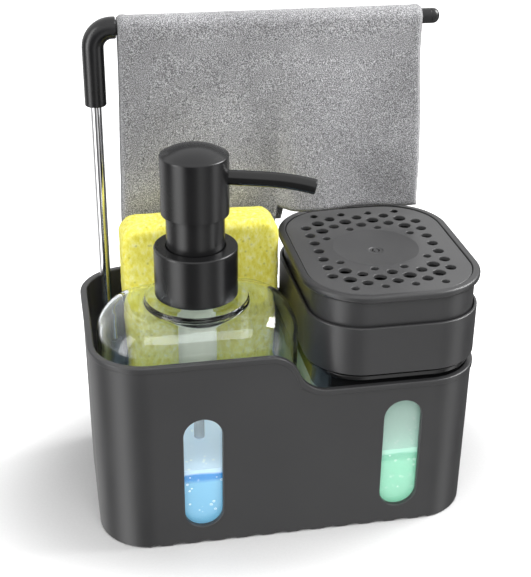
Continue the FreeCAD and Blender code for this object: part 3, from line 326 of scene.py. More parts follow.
charcoal = mouldedFinish("charcoal satin", (0.030, 0.030, 0.031), (0.036, 0.036, 0.037), (0.32, 0.38), 0.10)
plateGrey = mouldedFinish("press plate grain", (0.052, 0.052, 0.053), (0.064, 0.064, 0.065), (0.36, 0.42),
    0.26, 1900.0)
# near-black gloss for the tank's top band and lip: painted shade for the shadow under the lid
lipPaintedShade = mouldedFinish("container lip gloss", (0.010, 0.010, 0.011), (0.013, 0.013, 0.013), (0.10, 0.16),
    0.03)
pumpBlack = mouldedFinish("pump black", (0.005, 0.005, 0.006), (0.008, 0.008, 0.008), (0.22, 0.28), 0.08)
spoutBlack = mouldedFinish("spout black", (0.005, 0.005, 0.005), (0.007, 0.007, 0.007), (0.08, 0.12), 0.02)
rackBlack = mouldedFinish("rack black", (0.006, 0.006, 0.007), (0.009, 0.009, 0.009), (0.24, 0.30), 0.08)
innerWhite = mouldedFinish("inner plastic", (0.70, 0.71, 0.70), (0.76, 0.77, 0.76), (0.30, 0.36), 0.03)
sealGrey = mouldedFinish("seal rubber", (0.020, 0.020, 0.020), (0.028, 0.028, 0.028), (0.55, 0.65), 0.15)
springSteel = mouldedFinish("spring steel", (0.55, 0.55, 0.56), (0.62, 0.62, 0.63), (0.22, 0.30), 0.04,
    Metallic=1.0)
chrome = mouldedFinish("chrome", (0.80, 0.80, 0.81), (0.86, 0.86, 0.87), (0.05, 0.08), 0.01, 900.0, 60.0,
    Metallic=1.0)
naturalPlastic = mouldedFinish("natural plastic", (0.40, 0.43, 0.34), (0.46, 0.49, 0.39), (0.30, 0.36),
    0.03)


def clearFinish(name, dark, light, rough, clear):
    # clear plastic with a faint drifting tint and haze
    material = mouldedFinish(name, dark, light, rough, 0.02, 500.0, 45.0, IOR=1.46,
        Transmission_Weight=clear)
    tree = material.node_tree
    shader = tree.nodes["Principled BSDF"]
    # lamps shine through it: its shadow is a faint one
    rays = tree.nodes.new("ShaderNodeLightPath")
    tree.links.new(rangeOf(tree, rays.outputs["Is Shadow Ray"], 0, 1, 1.0, 0.15), shader.inputs["Alpha"])
    return material


bottleClear = clearFinish("clear bottle", (0.91, 0.96, 0.98), (0.95, 0.98, 0.99), (0.02, 0.04), 1.0)
tankClear = clearFinish("clear container", (0.78, 0.95, 0.88), (0.82, 0.97, 0.91), (0.02, 0.04), 0.78)
tubeClear = clearFinish("tube plastic", (0.72, 0.78, 0.80), (0.78, 0.84, 0.86), (0.22, 0.30), 0.55)


def soapFinish(name, body, band, paintedLitTop, paintedGlow):
    # soap: a dark band under its surface as painted shade, a pale top as painted light from above, bubbles
    # as small pale rings and dots, and painted light as it shines in its own colour
    material, tree, shader, place = newMaterial(name, Roughness=0.12, IOR=1.36, Emission_Strength=paintedGlow)
    high = addNode(tree, "ShaderNodeSeparateXYZ", {"Vector": place}).outputs["Z"]
    wave = noiseOf(tree, place, 90.0, Detail=2.0)
    ripple = addNode(tree, "ShaderNodeMath", {0: wave, 2: high}, operation="MULTIPLY_ADD")
    ripple.inputs[1].default_value = 0.0022
    # by height: the pale top is painted light and the dark band under it painted shade
    colour = rampOf(tree, rangeOf(tree, ripple.outputs["Value"], 0.020, 0.037), [
        (0.0, body), (0.55, body), (0.66, band), (0.78, band), (0.84, paintedLitTop), (1.0, paintedLitTop)])
    cells = addNode(tree, "ShaderNodeTexVoronoi", {"Vector": place}, Scale=330.0, Randomness=1.0)
    ring = rampOf(tree, cells.outputs["Distance"], [(0.0, (0.35,)), (0.10, (0.2,)), (0.16, (1.0,)),
        (0.22, (0.0,))])
    where = rampOf(tree, noiseOf(tree, place, 160.0), [(0.42, (0.0,)), (0.52, (1.0,))])
    bubble = multiplied(tree, ring, where)
    spotted = addNode(tree, "ShaderNodeMix", {"Factor": bubble, "A": colour}, data_type="RGBA",
        B=(0.92, 0.98, 1.0, 1.0))
    tree.links.new(spotted.outputs["Result"], shader.inputs["Base Color"])
    # the soap shines in its own colour, painted light though it is no lamp
    tree.links.new(spotted.outputs["Result"], shader.inputs["Emission Color"])
    return material


# the last value of each is how strongly the soap shines as painted light
handSoap = soapFinish("hand soap", (0.22, 0.50, 0.70), (0.05, 0.27, 0.62), (0.55, 0.72, 0.86), 0.22)
dishSoap = soapFinish("dish soap", (0.22, 0.70, 0.48), (0.05, 0.52, 0.32), (0.50, 0.82, 0.70), 0.24)

# microfibre: light and dark flecks, darkened in broad soft patches as painted shade of folds, with a fuzzy
# bump
microfibre, tree, shader, place = newMaterial("microfibre", Roughness=0.95, Sheen_Weight=0.5,
    Sheen_Roughness=0.5)
fleck = noiseOf(tree, place, 2600.0, Detail=3.0, Roughness=0.75)
drift = noiseOf(tree, place, 26.0, Detail=3.0)
flecked = rampOf(tree, fleck, [(0.36, (0.060, 0.060, 0.063)), (0.50, (0.27, 0.27, 0.278)),
    (0.62, (0.78, 0.78, 0.80))])
# painted shade of soft folds, from broad noise
shade = rampOf(tree, drift, [(0.34, (0.72,)), (0.64, (1.0,))])
tree.links.new(multiplied(tree, flecked, shade), shader.inputs["Base Color"])
fuzz = addNode(tree, "ShaderNodeBump", {"Height": fleck}, Strength=0.7, Distance=0.0006)
tree.links.new(fuzz.outputs["Normal"], shader.inputs["Normal"])

# cellulose: yellow with upright fibres, and open pores darkened as painted shade in their hollows
cellulose, tree, shader, place = newMaterial("cellulose", Roughness=0.9)
stretch = addNode(tree, "ShaderNodeMapping", {"Vector": place}, Scale=(1.0, 1.0, 0.55))
fibre = noiseOf(tree, stretch.outputs["Vector"], 620.0, Detail=6.0, Roughness=0.65)
pores = addNode(tree, "ShaderNodeTexVoronoi", {"Vector": place}, Scale=330.0).outputs["Distance"]
yellow = rampOf(tree, fibre, [(0.30, (0.80, 0.70, 0.05)), (0.50, (0.90, 0.84, 0.15)),
    (0.70, (0.95, 0.92, 0.42))])
paintedPoreShade = rampOf(tree, pores, [(0.06, (0.55,)), (0.24, (1.0,))])
tree.links.new(multiplied(tree, yellow, paintedPoreShade, 0.6), shader.inputs["Base Color"])
rough = addNode(tree, "ShaderNodeBump", {"Height": fibre}, Strength=0.55, Distance=0.0006)
tree.links.new(rough.outputs["Normal"], shader.inputs["Normal"])
print("finishes made")


# Tub
tub = dict(width=162.0, depth=94.5, corner=23.0, height=88.0, wall=2.4, floor=2.6, draft=0.6, foot=1.2,
    drop=17.4, swoopStart=-11.0, swoopLength=25.0, beadHeight=2.4, beadOut=0.5, beadRound=0.7,
    windowX=(-38.0, 46.0), windowWidth=16.0, windowHeight=53.0, windowSill=8.6, windowRound=0.7,
    windowBack=0.3, paneBeside=3.0, paneBelow=3.6, paneAbove=3.4, floorRound=1.2, channelPitch=10.8,
    channelRadius=6.0, channelDepth=1.0, channelSpan=5.6, channelFade=4.5, rod=(-69.536, 37.805),
    bossRadius=4.45, bossTop=56.6, bossBore=3.1, bossFoot=1.4, bossFloor=8.6)
swoopRadius = (tub["swoopLength"] ** 2 + tub["drop"] ** 2) / (4 * tub["drop"])


def rimOf(x):
    # rim height along x: level, two arcs of one radius, level;
    # and how much longer an upright cut through the bead is
    start = tub["swoopStart"]
    end = start + tub["swoopLength"]
    near = np.clip(x - start, 0, tub["swoopLength"] / 2)
    far = np.clip(end - x, 0, tub["swoopLength"] / 2)
    low = tub["height"] - tub["drop"]
    firstHalf = x < (start + end) / 2
    reach = np.where(firstHalf, near, far)
    rise = np.sqrt(swoopRadius ** 2 - reach ** 2)
    level = np.where(firstHalf, tub["height"] - swoopRadius + rise, low + swoopRadius - rise)
    return level, swoopRadius / rise


def makeTub():
    start = tub["swoopStart"]
    end = start + tub["swoopLength"]
    steep = math.asin(tub["swoopLength"] / 2 / swoopRadius)
    lean = swoopRadius * np.sin(np.linspace(0, steep, 19))
    pane = tub["windowWidth"] / 2 + tub["paneBeside"]
    left, right = tub["windowX"]
    halfX = tub["width"] / 2 - tub["corner"]
    across = np.concatenate([
        stations([-halfX, left - pane, left + pane, start], 1.0)[:-1], start + lean,
        (end - lean)[::-1][1:-1], stations([end, right - pane, right + pane, halfX], 1.0)])
    loop = roundedLoop(tub["width"], tub["depth"], tub["corner"], across=across, turns=22)
    sill = tub["windowSill"] - tub["paneBelow"]
    head = tub["windowSill"] + tub["windowHeight"] + tub["paneAbove"]
    ladder = stations([sill, head], 2.0)
    bead = tub["beadHeight"]
    out = tub["beadOut"]
    bow = tub["beadRound"]
    wall = tub["wall"]
    turn = np.linspace(0, np.pi / 2, 7)
    # each row is inset, fixed height, share of the rim height, drop from the rim square to it
    footRows = [(*row, 0, 0) for row in heelRows(0, 0, tub["foot"], 7)]
    nearRim = [(head * 0.6, 0.4, -1.2), (0, 1, -bead - 0.5)]
    wallRows = [(0, tub["floor"], 0, 0)] + [(0, z, 0, 0) for z in ladder] + [(0, *row) for row in nearRim]
    beadRows = [(0, 0, 1, -bead - 0.12), (-0.12, 0, 1, -bead), (-out + 0.1, 0, 1, -bead + 0.12),
        (-out, 0, 1, -bead + 0.3)]
    topRows = [(-out + bow * (1 - math.cos(t)), 0, 1, bow * (math.sin(t) - 1)) for t in turn]
    backRows = [(wall - bow * (1 - math.sin(t)), 0, 1, bow * (math.cos(t) - 1)) for t in turn]
    innerRows = [(wall, *row) for row in nearRim[::-1]] + [(wall, z, 0, 0) for z in ladder[::-1]]
    floorRows = [(*row, 0, 0) for row in heelRows(wall, tub["floor"], tub["floorRound"], 7)[::-1]]
    rows = np.array(footRows + wallRows + beadRows + topRows + backRows + innerRows + floorRows)
    plain = loop["spine"] + tub["corner"] * loop["normal"]
    level, longer = rimOf(plain[:, 0])
    z = rows[:, 1, None] + rows[:, 2, None] * level + rows[:, 3, None] * longer
    inset = rows[:, 0, None] + tub["draft"] * (1 - z / tub["height"])
    flat = loop["spine"] + (tub["corner"] - inset)[..., None] * loop["normal"]
    # shallow channels along y cut the underside: a circle's height over its chord, fading out up the foot
    pitch = tub["channelPitch"]
    off = (flat[..., 0] / pitch - 0.5 - np.round(flat[..., 0] / pitch - 0.5)) * pitch
    radius = tub["channelRadius"]
    chord = np.sqrt(np.clip(radius ** 2 - off ** 2, 0, None)) - radius + tub["channelDepth"]
    scallop = np.clip(chord, 0, None) * (np.abs(flat[..., 0]) < tub["channelSpan"] * pitch)
    outside = len(footRows) + len(wallRows)
    fade = np.clip(1 - z / tub["channelFade"], 0, 1) * (np.arange(len(rows)) < outside)[:, None]
    z = z + scallop * fade
    grid = np.concatenate([flat, z[..., None]], axis=2)
    keep = np.ones((len(rows) - 1, grid.shape[1]), bool)
    middle = (grid[:-1] + grid[1:]) / 2
    middle = (middle + np.roll(middle, -1, axis=1)) / 2
    patches = []
    for x in tub["windowX"]:
        front = (np.abs(middle[..., 0] - x) < pane) & (middle[..., 1] < 0)
        keep &= ~(front & (middle[..., 2] > sill) & (middle[..., 2] < head))
        patches.append(patch(windowGrid(x, pane, sill, head, ladder, across)))
    underside = spanned(loop, grid[0])
    floorTop = spanned(loop, grid[-1])
    bossProfile = profileOf(tub, [(0, "bossFoot", 0), ("bossRadius", "bossFoot", 0),
        ("bossRadius", "bossTop", 0.5), ("bossBore", "bossTop", 0.2), ("bossBore", "bossFloor", 0),
        (0, "bossFloor", 0)], 4)
    patches += [patch(grid, True, keep), patch(underside, False), patch(floorTop, False),
                patch(turned(bossProfile, *tub["rod"], 40))]
    return addPiece("tub", patches, charcoal, "caddy", ["caddy_body"])


def windowGrid(x, pane, sill, head, ladder, across):
    # from a rectangle in the wall to a pill: every edge point goes to the nearest point of the pill, over a
    # rounded edge, through the wall and out to the same rectangle inside
    within = across[np.abs(across - x) < pane + 1e-6]
    low = np.column_stack([within, 0 * within + sill])
    up = np.column_stack([0 * ladder + x + pane, ladder])
    high = np.column_stack([low[::-1, 0], 0 * low[:, 0] + head])
    down = np.column_stack([0 * ladder + x - pane, ladder[::-1]])
    edge = np.concatenate([low[:-1], up[:-1], high[:-1], down[:-1]])
    radius = tub["windowWidth"] / 2
    bottom = tub["windowSill"] + radius
    top = tub["windowSill"] + tub["windowHeight"] - radius
    spine = np.column_stack([0 * edge[:, 0] + x, np.clip(edge[:, 1], bottom, top)])
    way = (edge - spine) / np.linalg.norm(edge - spine, axis=1, keepdims=True)
    wall = tub["wall"]
    back = tub["windowBack"]
    turn = np.linspace(0, np.pi / 2, 4)
    steps = heelRows(0, 0, tub["windowRound"], 7)
    steps = np.array(steps + [(back * (1 - math.cos(t)), wall - back + back * math.sin(t)) for t in turn])
    flat = spine + (radius + steps[:, 0, None, None]) * way
    flat = np.concatenate([edge[None], flat, edge[None]])
    depth = np.concatenate([[0], steps[:, 1], [wall]])[:, None]
    y = -tub["depth"] / 2 + tub["draft"] * (1 - flat[..., 1] / tub["height"]) + depth
    return np.stack([flat[..., 0], y, flat[..., 1]], axis=2)


makeTub()

# Pump bottle
bottle = dict(x=-35.6, y=-16.15, width=82.8, depth=55.0, corner=24.0, base=2.8, top=100.6, shoulder=14.0,
    heel=5.0, wall=1.4, stepRadius=21.3, stepTop=102.8, neckRadius=13.0, neckTop=118.5, neckWall=1.6,
    soapLevel=35.0, ringClear=0.9, boreInset=7.0)


def shoulderHeight(flat, inset):
    # height over the plan: a quarter round of the shoulder's radius at the rim, level in the middle
    size = np.array([bottle["width"], bottle["depth"]]) / 2 - bottle["corner"]
    q = np.abs(flat - np.array([bottle["x"], bottle["y"]])) - size
    outside = np.linalg.norm(np.maximum(q, 0), axis=-1) + np.minimum(q.max(axis=-1), 0)
    deep = np.clip(bottle["corner"] - inset - outside, 0, None)
    radius = bottle["shoulder"] - inset
    low = np.clip(radius - deep, 0, None)
    return bottle["top"] - inset - radius + np.sqrt(np.clip(radius ** 2 - low ** 2, 0, None))


def bottleSkin(loop, inset):
    # one side of the wall: heel, walls, then rows from the outline over the shoulder to the neck ring
    heel = bottle["heel"] - inset
    base = bottle["base"] + inset
    wallTop = bottle["top"] - bottle["shoulder"]
    low = heelRows(inset, base, heel, 8)
    low += [(inset, z) for z in np.linspace(base + heel, wallTop, 6)[1:]]
    walls = carried(loop, low)
    rim = loop["spine"] + (loop["corner"] - inset) * loop["normal"]
    reach = bottle["stepRadius"] + (bottle["ringClear"] if inset == 0 else -bottle["boreInset"])
    ring = circled(loop, [(reach, 0)])[0][:, :2]
    share = np.linspace(0, 1, 22)[1:, None, None] ** 1.7
    flat = rim + (ring - rim) * share
    dome = np.concatenate([flat, shoulderHeight(flat, inset)[..., None]], axis=2)
    return walls, dome


def makeBottle():
    across = np.linspace(-1, 1, 13) * (bottle["width"] / 2 - bottle["corner"])
    loop = roundedLoop(bottle["width"], bottle["depth"], bottle["corner"], bottle["x"], bottle["y"], across,
        18, 4)
    walls, dome = bottleSkin(loop, 0.0)
    innerWalls, innerDome = bottleSkin(loop, bottle["wall"])
    # the neck ring rises from the shoulder with a small cove
    cove = circled(loop, [(bottle["stepRadius"] + 0.25, 0), (bottle["stepRadius"], 0)])
    cove[0, :, 2] = dome[-1, :, 2] + 0.2
    cove[1, :, 2] = dome[-1, :, 2] + 0.8
    neckBore = bottle["neckRadius"] - bottle["neckWall"]
    neck = profileOf(bottle, [("stepRadius", bottle["stepTop"] - 1.2, 0), ("stepRadius", "stepTop", 0.6),
        ("neckRadius", "stepTop", 0.4), ("neckRadius", "neckTop", 0.4), (neckBore, "neckTop", 0.4),
        (neckBore, "top", 0.8), (bottle["stepRadius"] - bottle["boreInset"], bottle["top"] - bottle["wall"],
        0)], 4)
    grid = np.concatenate([walls, dome, cove, circled(loop, neck), innerDome[::-1], innerWalls[::-1]])
    under = spanned(loop, grid[0], 4)
    inside = spanned(loop, grid[-1], 4)
    addPiece("clear_bottle", [patch(grid), patch(under, False), patch(inside, False)], bottleClear,
        "bottle", ["hand_bottle"])
    fillTank("blue_soap", loop, bottle["wall"] + 0.05, bottle["base"] + bottle["wall"] + 0.05,
             bottle["heel"] - bottle["wall"], bottle["soapLevel"], handSoap, "bottle", "hand_soap")


def fillTank(name, loop, inset, base, heel, level, material, body, node):
    # soap standing in a tank: heel round, walls, a small meniscus and a faintly rippled top
    profile = heelRows(inset, base, heel, 6)
    profile += [(inset, level), (inset + 0.15, level - 0.05), (inset + 0.6, level - 0.45),
        (inset + 1.6, level - 0.7)]
    grid = carried(loop, profile)
    top = spanned(loop, grid[-1], 12)
    top[1:-1, 1:-1, 2] += 0.25 * cloudy(top[1:-1, 1:-1], 9.0, 5)
    under = spanned(loop, grid[0], 12)
    joined = [patch(grid), patch(top, False), patch(under, False)]
    return addPiece(name, joined, material, body, [node])


makeBottle()

# Pump
pump = dict(collarRadius=17.0, collarBase=104.0, collarTop=125.0, sleeveRadius=11.8, sleeveTop=139.5,
    headRadius=13.65, headBase=139.0, headTop=163.0, dome=4.2, spoutLevel=154.6, spoutRadius=3.05,
    spoutBore=2.0, spoutReach=37.0, spoutFall=1.5, tipReach=10.4, tipFall=2.6, spoutTurn=12.0,
    collarBore=13.15, collarMiddle=113.0, collarSeat=122.5, sleeveBore=10.3, sleeveFoot=121.1,
    sleeveSeat=122.4, sleeveFlange=12.85, sleeveMiddle=130.0, socketBore=3.6, socketRadius=5.2,
    socketFoot=145.05, socketTop=152.6, capBore=12.3, capTop=151.1)


def makePump():
    at = (bottle["x"], bottle["y"])
    collar = profileOf(pump, [("collarBore", "collarMiddle", 0), ("collarBore", "collarBase", 0.3),
        ("collarRadius", "collarBase", 0.4), ("collarRadius", "collarTop", 0.9),
        (pump["sleeveRadius"] + 0.35, "collarTop", 0.3), (pump["sleeveRadius"] + 0.1, "collarSeat", 0.1),
        ("collarBore", "collarSeat", 0.1), ("collarBore", "collarMiddle", 0)])
    addPiece("screw_ring", [patch(turned(collar, *at, 96))], pumpBlack, "bottle", ["screw_collar"])
    bore = pump["sleeveBore"]
    sleeve = profileOf(pump, [(bore, "sleeveMiddle", 0), (bore, "sleeveFoot", 0.1),
        ("sleeveFlange", "sleeveFoot", 0.1), ("sleeveFlange", "sleeveSeat", 0.1),
        ("sleeveRadius", "sleeveSeat", 0.1), ("sleeveRadius", "sleeveTop", 0.3), (bore, "sleeveTop", 0.3),
        (bore, "sleeveMiddle", 0)], 4)
    addPiece("pump_sleeve", [patch(turned(sleeve, *at, 96))], pumpBlack, "bottle", ["neck_sleeve"])
    # the head is a hollow cap, and its top is a shallow spherical dome
    rise = pump["dome"]
    radius = pump["headRadius"]
    ball = (radius ** 2 + rise ** 2) / (2 * rise)
    lean = np.linspace(math.asin((radius - 0.9) / ball), 0, 14)
    domed = [(ball * math.sin(a), pump["headTop"] + rise - ball + ball * math.cos(a), 0) for a in lean]
    cap = profileOf(pump, [(0, "socketTop", 0), ("socketBore", "socketTop", 0.2),
        ("socketBore", "socketFoot", 0.2), ("socketRadius", "socketFoot", 0.2),
        ("socketRadius", "capTop", 0.3), ("capBore", "capTop", 0.5), ("capBore", "headBase", 0.3),
        (radius, "headBase", 0.4), (radius, pump["headTop"] + 0.2, 0.75)] + domed)
    addPiece("pump_cap", [patch(turned(cap, *at, 96))], pumpBlack, "head", ["pump_head"])
    # the spout leaves the head, falls slightly and droops at its tip: a parabola joins the two runs
    turn = math.radians(pump["spoutTurn"])
    out = np.array([math.cos(turn), -math.sin(turn), 0.0])
    root = np.array([*at, pump["spoutLevel"]])
    kink = root + out * pump["spoutReach"] - np.array([0, 0, pump["spoutFall"]])
    tip = kink + out * pump["tipReach"] - np.array([0, 0, pump["tipFall"]])
    near = kink + (root - kink) * 0.3
    far = kink + (tip - kink) * 0.75
    share = np.linspace(0, 1, 17)[:, None]
    bent = near * (1 - share) ** 2 + 2 * kink * share * (1 - share) + far * share ** 2
    path = np.concatenate([root + (near - root) * np.linspace(0.1, 0.95, 12)[:, None], bent, tip[None]])
    length = np.linalg.norm(np.diff(path, axis=0), axis=1).sum()
    runs = stations([0.0, length - 1.0], 2.0)
    skin = [(s, pump["spoutRadius"]) for s in runs]
    mouth = profileOf(pump, [(length - 1.0, "spoutRadius", 0), (length, "spoutRadius", 0.45),
        (length, "spoutBore", 0.3), (length - 1.0, "spoutBore", 0)], 5)
    bore = [(s, pump["spoutBore"]) for s in runs[::-1] if s > 6]
    side = np.array([math.sin(turn), math.cos(turn), 0.0])
    grid = swept(path, skin + mouth[1:-1].tolist() + bore + [(bore[-1][0], 0)], side, 40)
    closed = np.concatenate([np.broadcast_to(grid[0].mean(axis=0), grid[:1].shape), grid])
    addPiece("pump_spout", [patch(closed)], spoutBlack, "head", ["spout"])


makePump()

# Press dispenser
press = dict(x=44.4, lidWidth=73.2, lidDepth=94.5, lidCorner=23.0, lidBase=75.5, lidTop=97.1, lidWall=1.3,
    deckTop=77.7, hole=10.0, spigot=5.45, spigotWall=1.2, spigotFoot=70.5, tankInset=3.6, tankWall=1.6,
    tankBase=2.8, tankHeel=4.0, lipInset=1.7, lipBase=72.3, lipTop=74.3, bandBase=62.6, plateWidth=76.4,
    plateDepth=94.4, plateCorner=27.0, flangeBase=107.9, flangeTop=110.9, flangeRound=1.2, skirtInset=1.8,
    skirtWall=2.2, skirtBase=88.6, rim=3.2, panTop=101.7, panBase=100.2, sheetTop=110.5, sheetBase=108.7,
    dishRadius=18.5, dishDepth=1.5, dishBack=106.9, nozzle=2.6, stem=4.0, hub=7.0, soapLevel=35.0,
    lipMiddle=70.0, panSpread=4.0, hubSpread=3.0, flangeInset=2.2, boreMiddle=103.0, ladderInset=8.0,
    holePitch=(6.3, 8.2), holeSizes=(3.3, 4.5, 5.4), holeMargin=(12.2, 9.7), cornerMargin=28.4,
    dishClear=(21.0, 23.0), holeRound=0.35)


def makeDispenser():
    lid = roundedLoop(press["lidWidth"], press["lidDepth"], press["lidCorner"], press["x"], turns=18)
    plate = roundedLoop(press["plateWidth"], press["plateDepth"], press["plateCorner"], press["x"],
        turns=18)
    spigotBack = press["spigot"] + press["spigotWall"]
    ring = profileOf(press, [("ladderInset", "deckTop", 0), ("lidWall", "deckTop", 0.4),
        ("lidWall", "lidTop", 0.4), (0, "lidTop", 0.6), (0, "lidBase", 0.6), ("spigot", "lidBase", 0.2),
        ("spigot", "spigotFoot", 0.3), (spigotBack, "spigotFoot", 0.3), (spigotBack, "lidBase", 0.2),
        ("ladderInset", "lidBase", 0)])
    hole = profileOf(press, [(press["hole"] + 1, "lidBase", 0), ("hole", "lidBase", 0.2),
        ("hole", "deckTop", 0.2), (press["hole"] + 1, "deckTop", 0)], 3)
    grid = np.concatenate([carried(lid, ring), circled(lid, hole), carried(lid, ring[:1])])
    addPiece("press_lid", [patch(grid)], charcoal, "dispenser", ["dispenser_lid"])

    # the tank is clear, and its top band and lip are near-black: painted shade for the shadow under the lid
    heel = press["tankHeel"]
    inset = press["tankInset"]
    wall = press["tankWall"]
    outer = heelRows(inset, press["tankBase"], heel, 7)
    outer += [(inset, z) for z in np.linspace(press["tankBase"] + heel, press["bandBase"], 5)[1:]]
    outer += [(inset + wall, press["bandBase"])]
    inHeel = heel - wall
    floorZ = press["tankBase"] + wall
    inner = [(inset + wall, z) for z in np.linspace(press["bandBase"], floorZ + inHeel, 5)[1:]]
    inner += heelRows(inset + wall, floorZ, inHeel, 7)[-2::-1]
    grid = carried(lid, outer + inner)
    addPiece("clear_container", [patch(grid), patch(spanned(lid, grid[0]), False),
        patch(spanned(lid, grid[-1]), False)], tankClear, "dispenser", ["soap_container"])
    lip = profileOf(press, [(inset + wall, "lipMiddle", 0), (inset + wall, "bandBase", 0.1),
        (inset, "bandBase", 0.1), (inset, "lipBase", 0.5), ("lipInset", "lipBase", 0.4),
        ("lipInset", "lipTop", 0.6), (inset + wall, "lipTop", 0.3), (inset + wall, "lipMiddle", 0)])
    addPiece("container_lip", [patch(carried(lid, lip))], lipPaintedShade, "dispenser")
    fillTank("green_soap", lid, inset + wall + 0.05, floorZ + 0.05, inHeel, press["soapLevel"], dishSoap,
        "dispenser", "dish_soap")

    # flange, skirt and pan in one: rows of the plate's and the lid's outlines, and circles on their bearings
    skirt = press["skirtInset"]
    pan = skirt + press["skirtWall"]
    panEdge = pan + press["panSpread"]
    hubFoot = press["hub"] + press["hubSpread"]
    hub = circled(plate, profileOf(press, [("stem", "boreMiddle", 0), ("stem", "dishBack", 0.3),
        ("hub", "dishBack", 0.3), ("hub", "panTop", 0.8), (hubFoot, "panTop", 0)], 4))
    well = carried(lid, profileOf(press, [(panEdge, "panTop", 0), (pan, "panTop", 1.2),
        (pan, "sheetBase", 0)]))
    flange = carried(plate, profileOf(press, [("rim", "sheetBase", 0), ("rim", "flangeTop", 0.5),
        (0, "flangeTop", press["flangeRound"]), (0, "flangeBase", press["flangeRound"]),
        ("flangeInset", "flangeBase", 0)], 8))
    below = carried(lid, profileOf(press, [(skirt - 0.35, "flangeBase", 0), (skirt, "flangeBase", 0.3),
        (skirt, "skirtBase", 0.5), (pan, "skirtBase", 0.5), (pan, "panBase", 0.6),
        (panEdge, "panBase", 0)]))
    bore = circled(plate, [(hubFoot, press["panBase"]), (press["stem"], press["panBase"]),
        (press["stem"], press["boreMiddle"])])
    addPiece("press_tray", [patch(np.concatenate([hub, well, flange, below, bore]))], charcoal, "plate",
        ["press_frame"])
    makeSheet(plate)


def holeSpots():
    # a staggered field that leaves the dish free: large holes mid-band, small ones at its edges
    across, along = press["holePitch"]
    small, medium, large = press["holeSizes"]
    dishFree, dishEdge = press["dishClear"]
    column, row = np.meshgrid(np.arange(-4, 5), np.arange(-6, 6), indexing="ij")
    shift = (column % 2) * 0.5
    x = column * across
    y = (row + shift) * along
    fieldY = press["plateDepth"] / 2 - press["holeMargin"][1]
    fieldX = press["plateWidth"] / 2 - press["holeMargin"][0]
    fieldCorner = (press["plateWidth"] + press["plateDepth"]) / 2 - press["cornerMargin"]
    reach = np.hypot(x, y)
    inField = (np.abs(y) <= fieldY) & (np.abs(x) <= fieldX) & (reach >= dishFree)
    inField &= np.abs(x) + np.abs(y) <= fieldCorner
    edge = (reach < dishEdge) | (np.abs(y) > fieldY - along / 2)
    size = np.where(shift == 0, medium, np.where(edge, small, large))
    return np.column_stack([x[inField] + press["x"], y[inField], size[inField] / 2])


def makeSheet(plate):
    # perforated sheet: a flat triangulation between outline, holes and dish, with rounded edges at each
    spots = holeSpots()
    bow = press["holeRound"]
    gap = press["rim"] + 0.2
    top = press["sheetTop"]
    base = press["sheetBase"]
    count = 28
    angle = np.linspace(0, 2 * np.pi, count, endpoint=False)
    circle = np.column_stack([np.cos(angle), np.sin(angle)])
    wide = np.linspace(0, 2 * np.pi, 72, endpoint=False)
    dishEdge = press["dishRadius"] + 0.5
    loops = [carried(plate, [(gap + bow, 0)])[0][:, :2]]
    loops += [spot[:2] + (spot[2] + bow) * circle for spot in spots]
    loops += [np.column_stack([press["x"] + dishEdge * np.cos(wide), dishEdge * np.sin(wide)])]
    flat = np.concatenate(loops)
    starts = np.cumsum([0] + [len(l) for l in loops])
    edges = [(start + i, start + (i + 1) % len(l))
             for l, start in zip(loops, starts) for i in range(len(l))]
    found = delaunay_2d_cdt([Vector(p) for p in flat], edges, [], 1, 1e-6)
    corners = np.array([tuple(v) for v in found[0]])
    faces = np.array(found[2])
    middle = corners[faces].mean(axis=1)
    away = np.linalg.norm(middle[:, None] - spots[None, :, :2], axis=2)
    solid = (away > spots[:, 2] + bow * 0.5).all(axis=1)
    solid &= np.hypot(middle[:, 0] - press["x"], middle[:, 1]) > dishEdge - 0.05
    faces = faces[solid].tolist()
    patches = [(np.column_stack([corners, np.full(len(corners), z)]), faces) for z in (top, base)]
    rounded = softened([(bow, top, 0), (0, top, bow * 0.98), (0, base, bow * 0.98), (bow, base, 0)], 4)
    patches.append(patch(carried(plate, rounded + (gap, 0))))
    patches += [patch(turned(rounded + (radius, 0), x, y, count)) for x, y, radius in spots]
    # the dish is a spherical hollow with a soft rim, and a boss stands under it
    depth = press["dishDepth"]
    ball = (press["dishRadius"] ** 2 + depth ** 2) / (2 * depth)
    lean = np.linspace(math.asin((press["dishRadius"] - 1.0) / ball), math.asin(press["nozzle"] / ball), 14)
    hollow = [(ball * math.sin(a), top - depth + ball - ball * math.cos(a), 0) for a in lean]
    brim = [(dishEdge, top, 0), (press["dishRadius"] - 0.1, top, 2.0)]
    boss = [("nozzle", "dishBack", 0.1), ("dishRadius", "dishBack", 0.4), ("dishRadius", base, 0.3)]
    dish = profileOf(press, brim + hollow + boss + [(dishEdge, base, 0)], 5)
    patches.append(patch(turned(dish, press["x"], 0.0, 72)))
    addPiece("drain_sheet", patches, plateGrey, "plate", ["drain_plate"])


makeDispenser()

# Springs
springs = {
    "pump_spring": dict(wire=0.9, turns=7, body="bottle", joint="pump_press", travel=11.0),
    "press_spring": dict(wire=1.2, turns=4, body="dispenser", joint="plate_press", travel=9.5)}


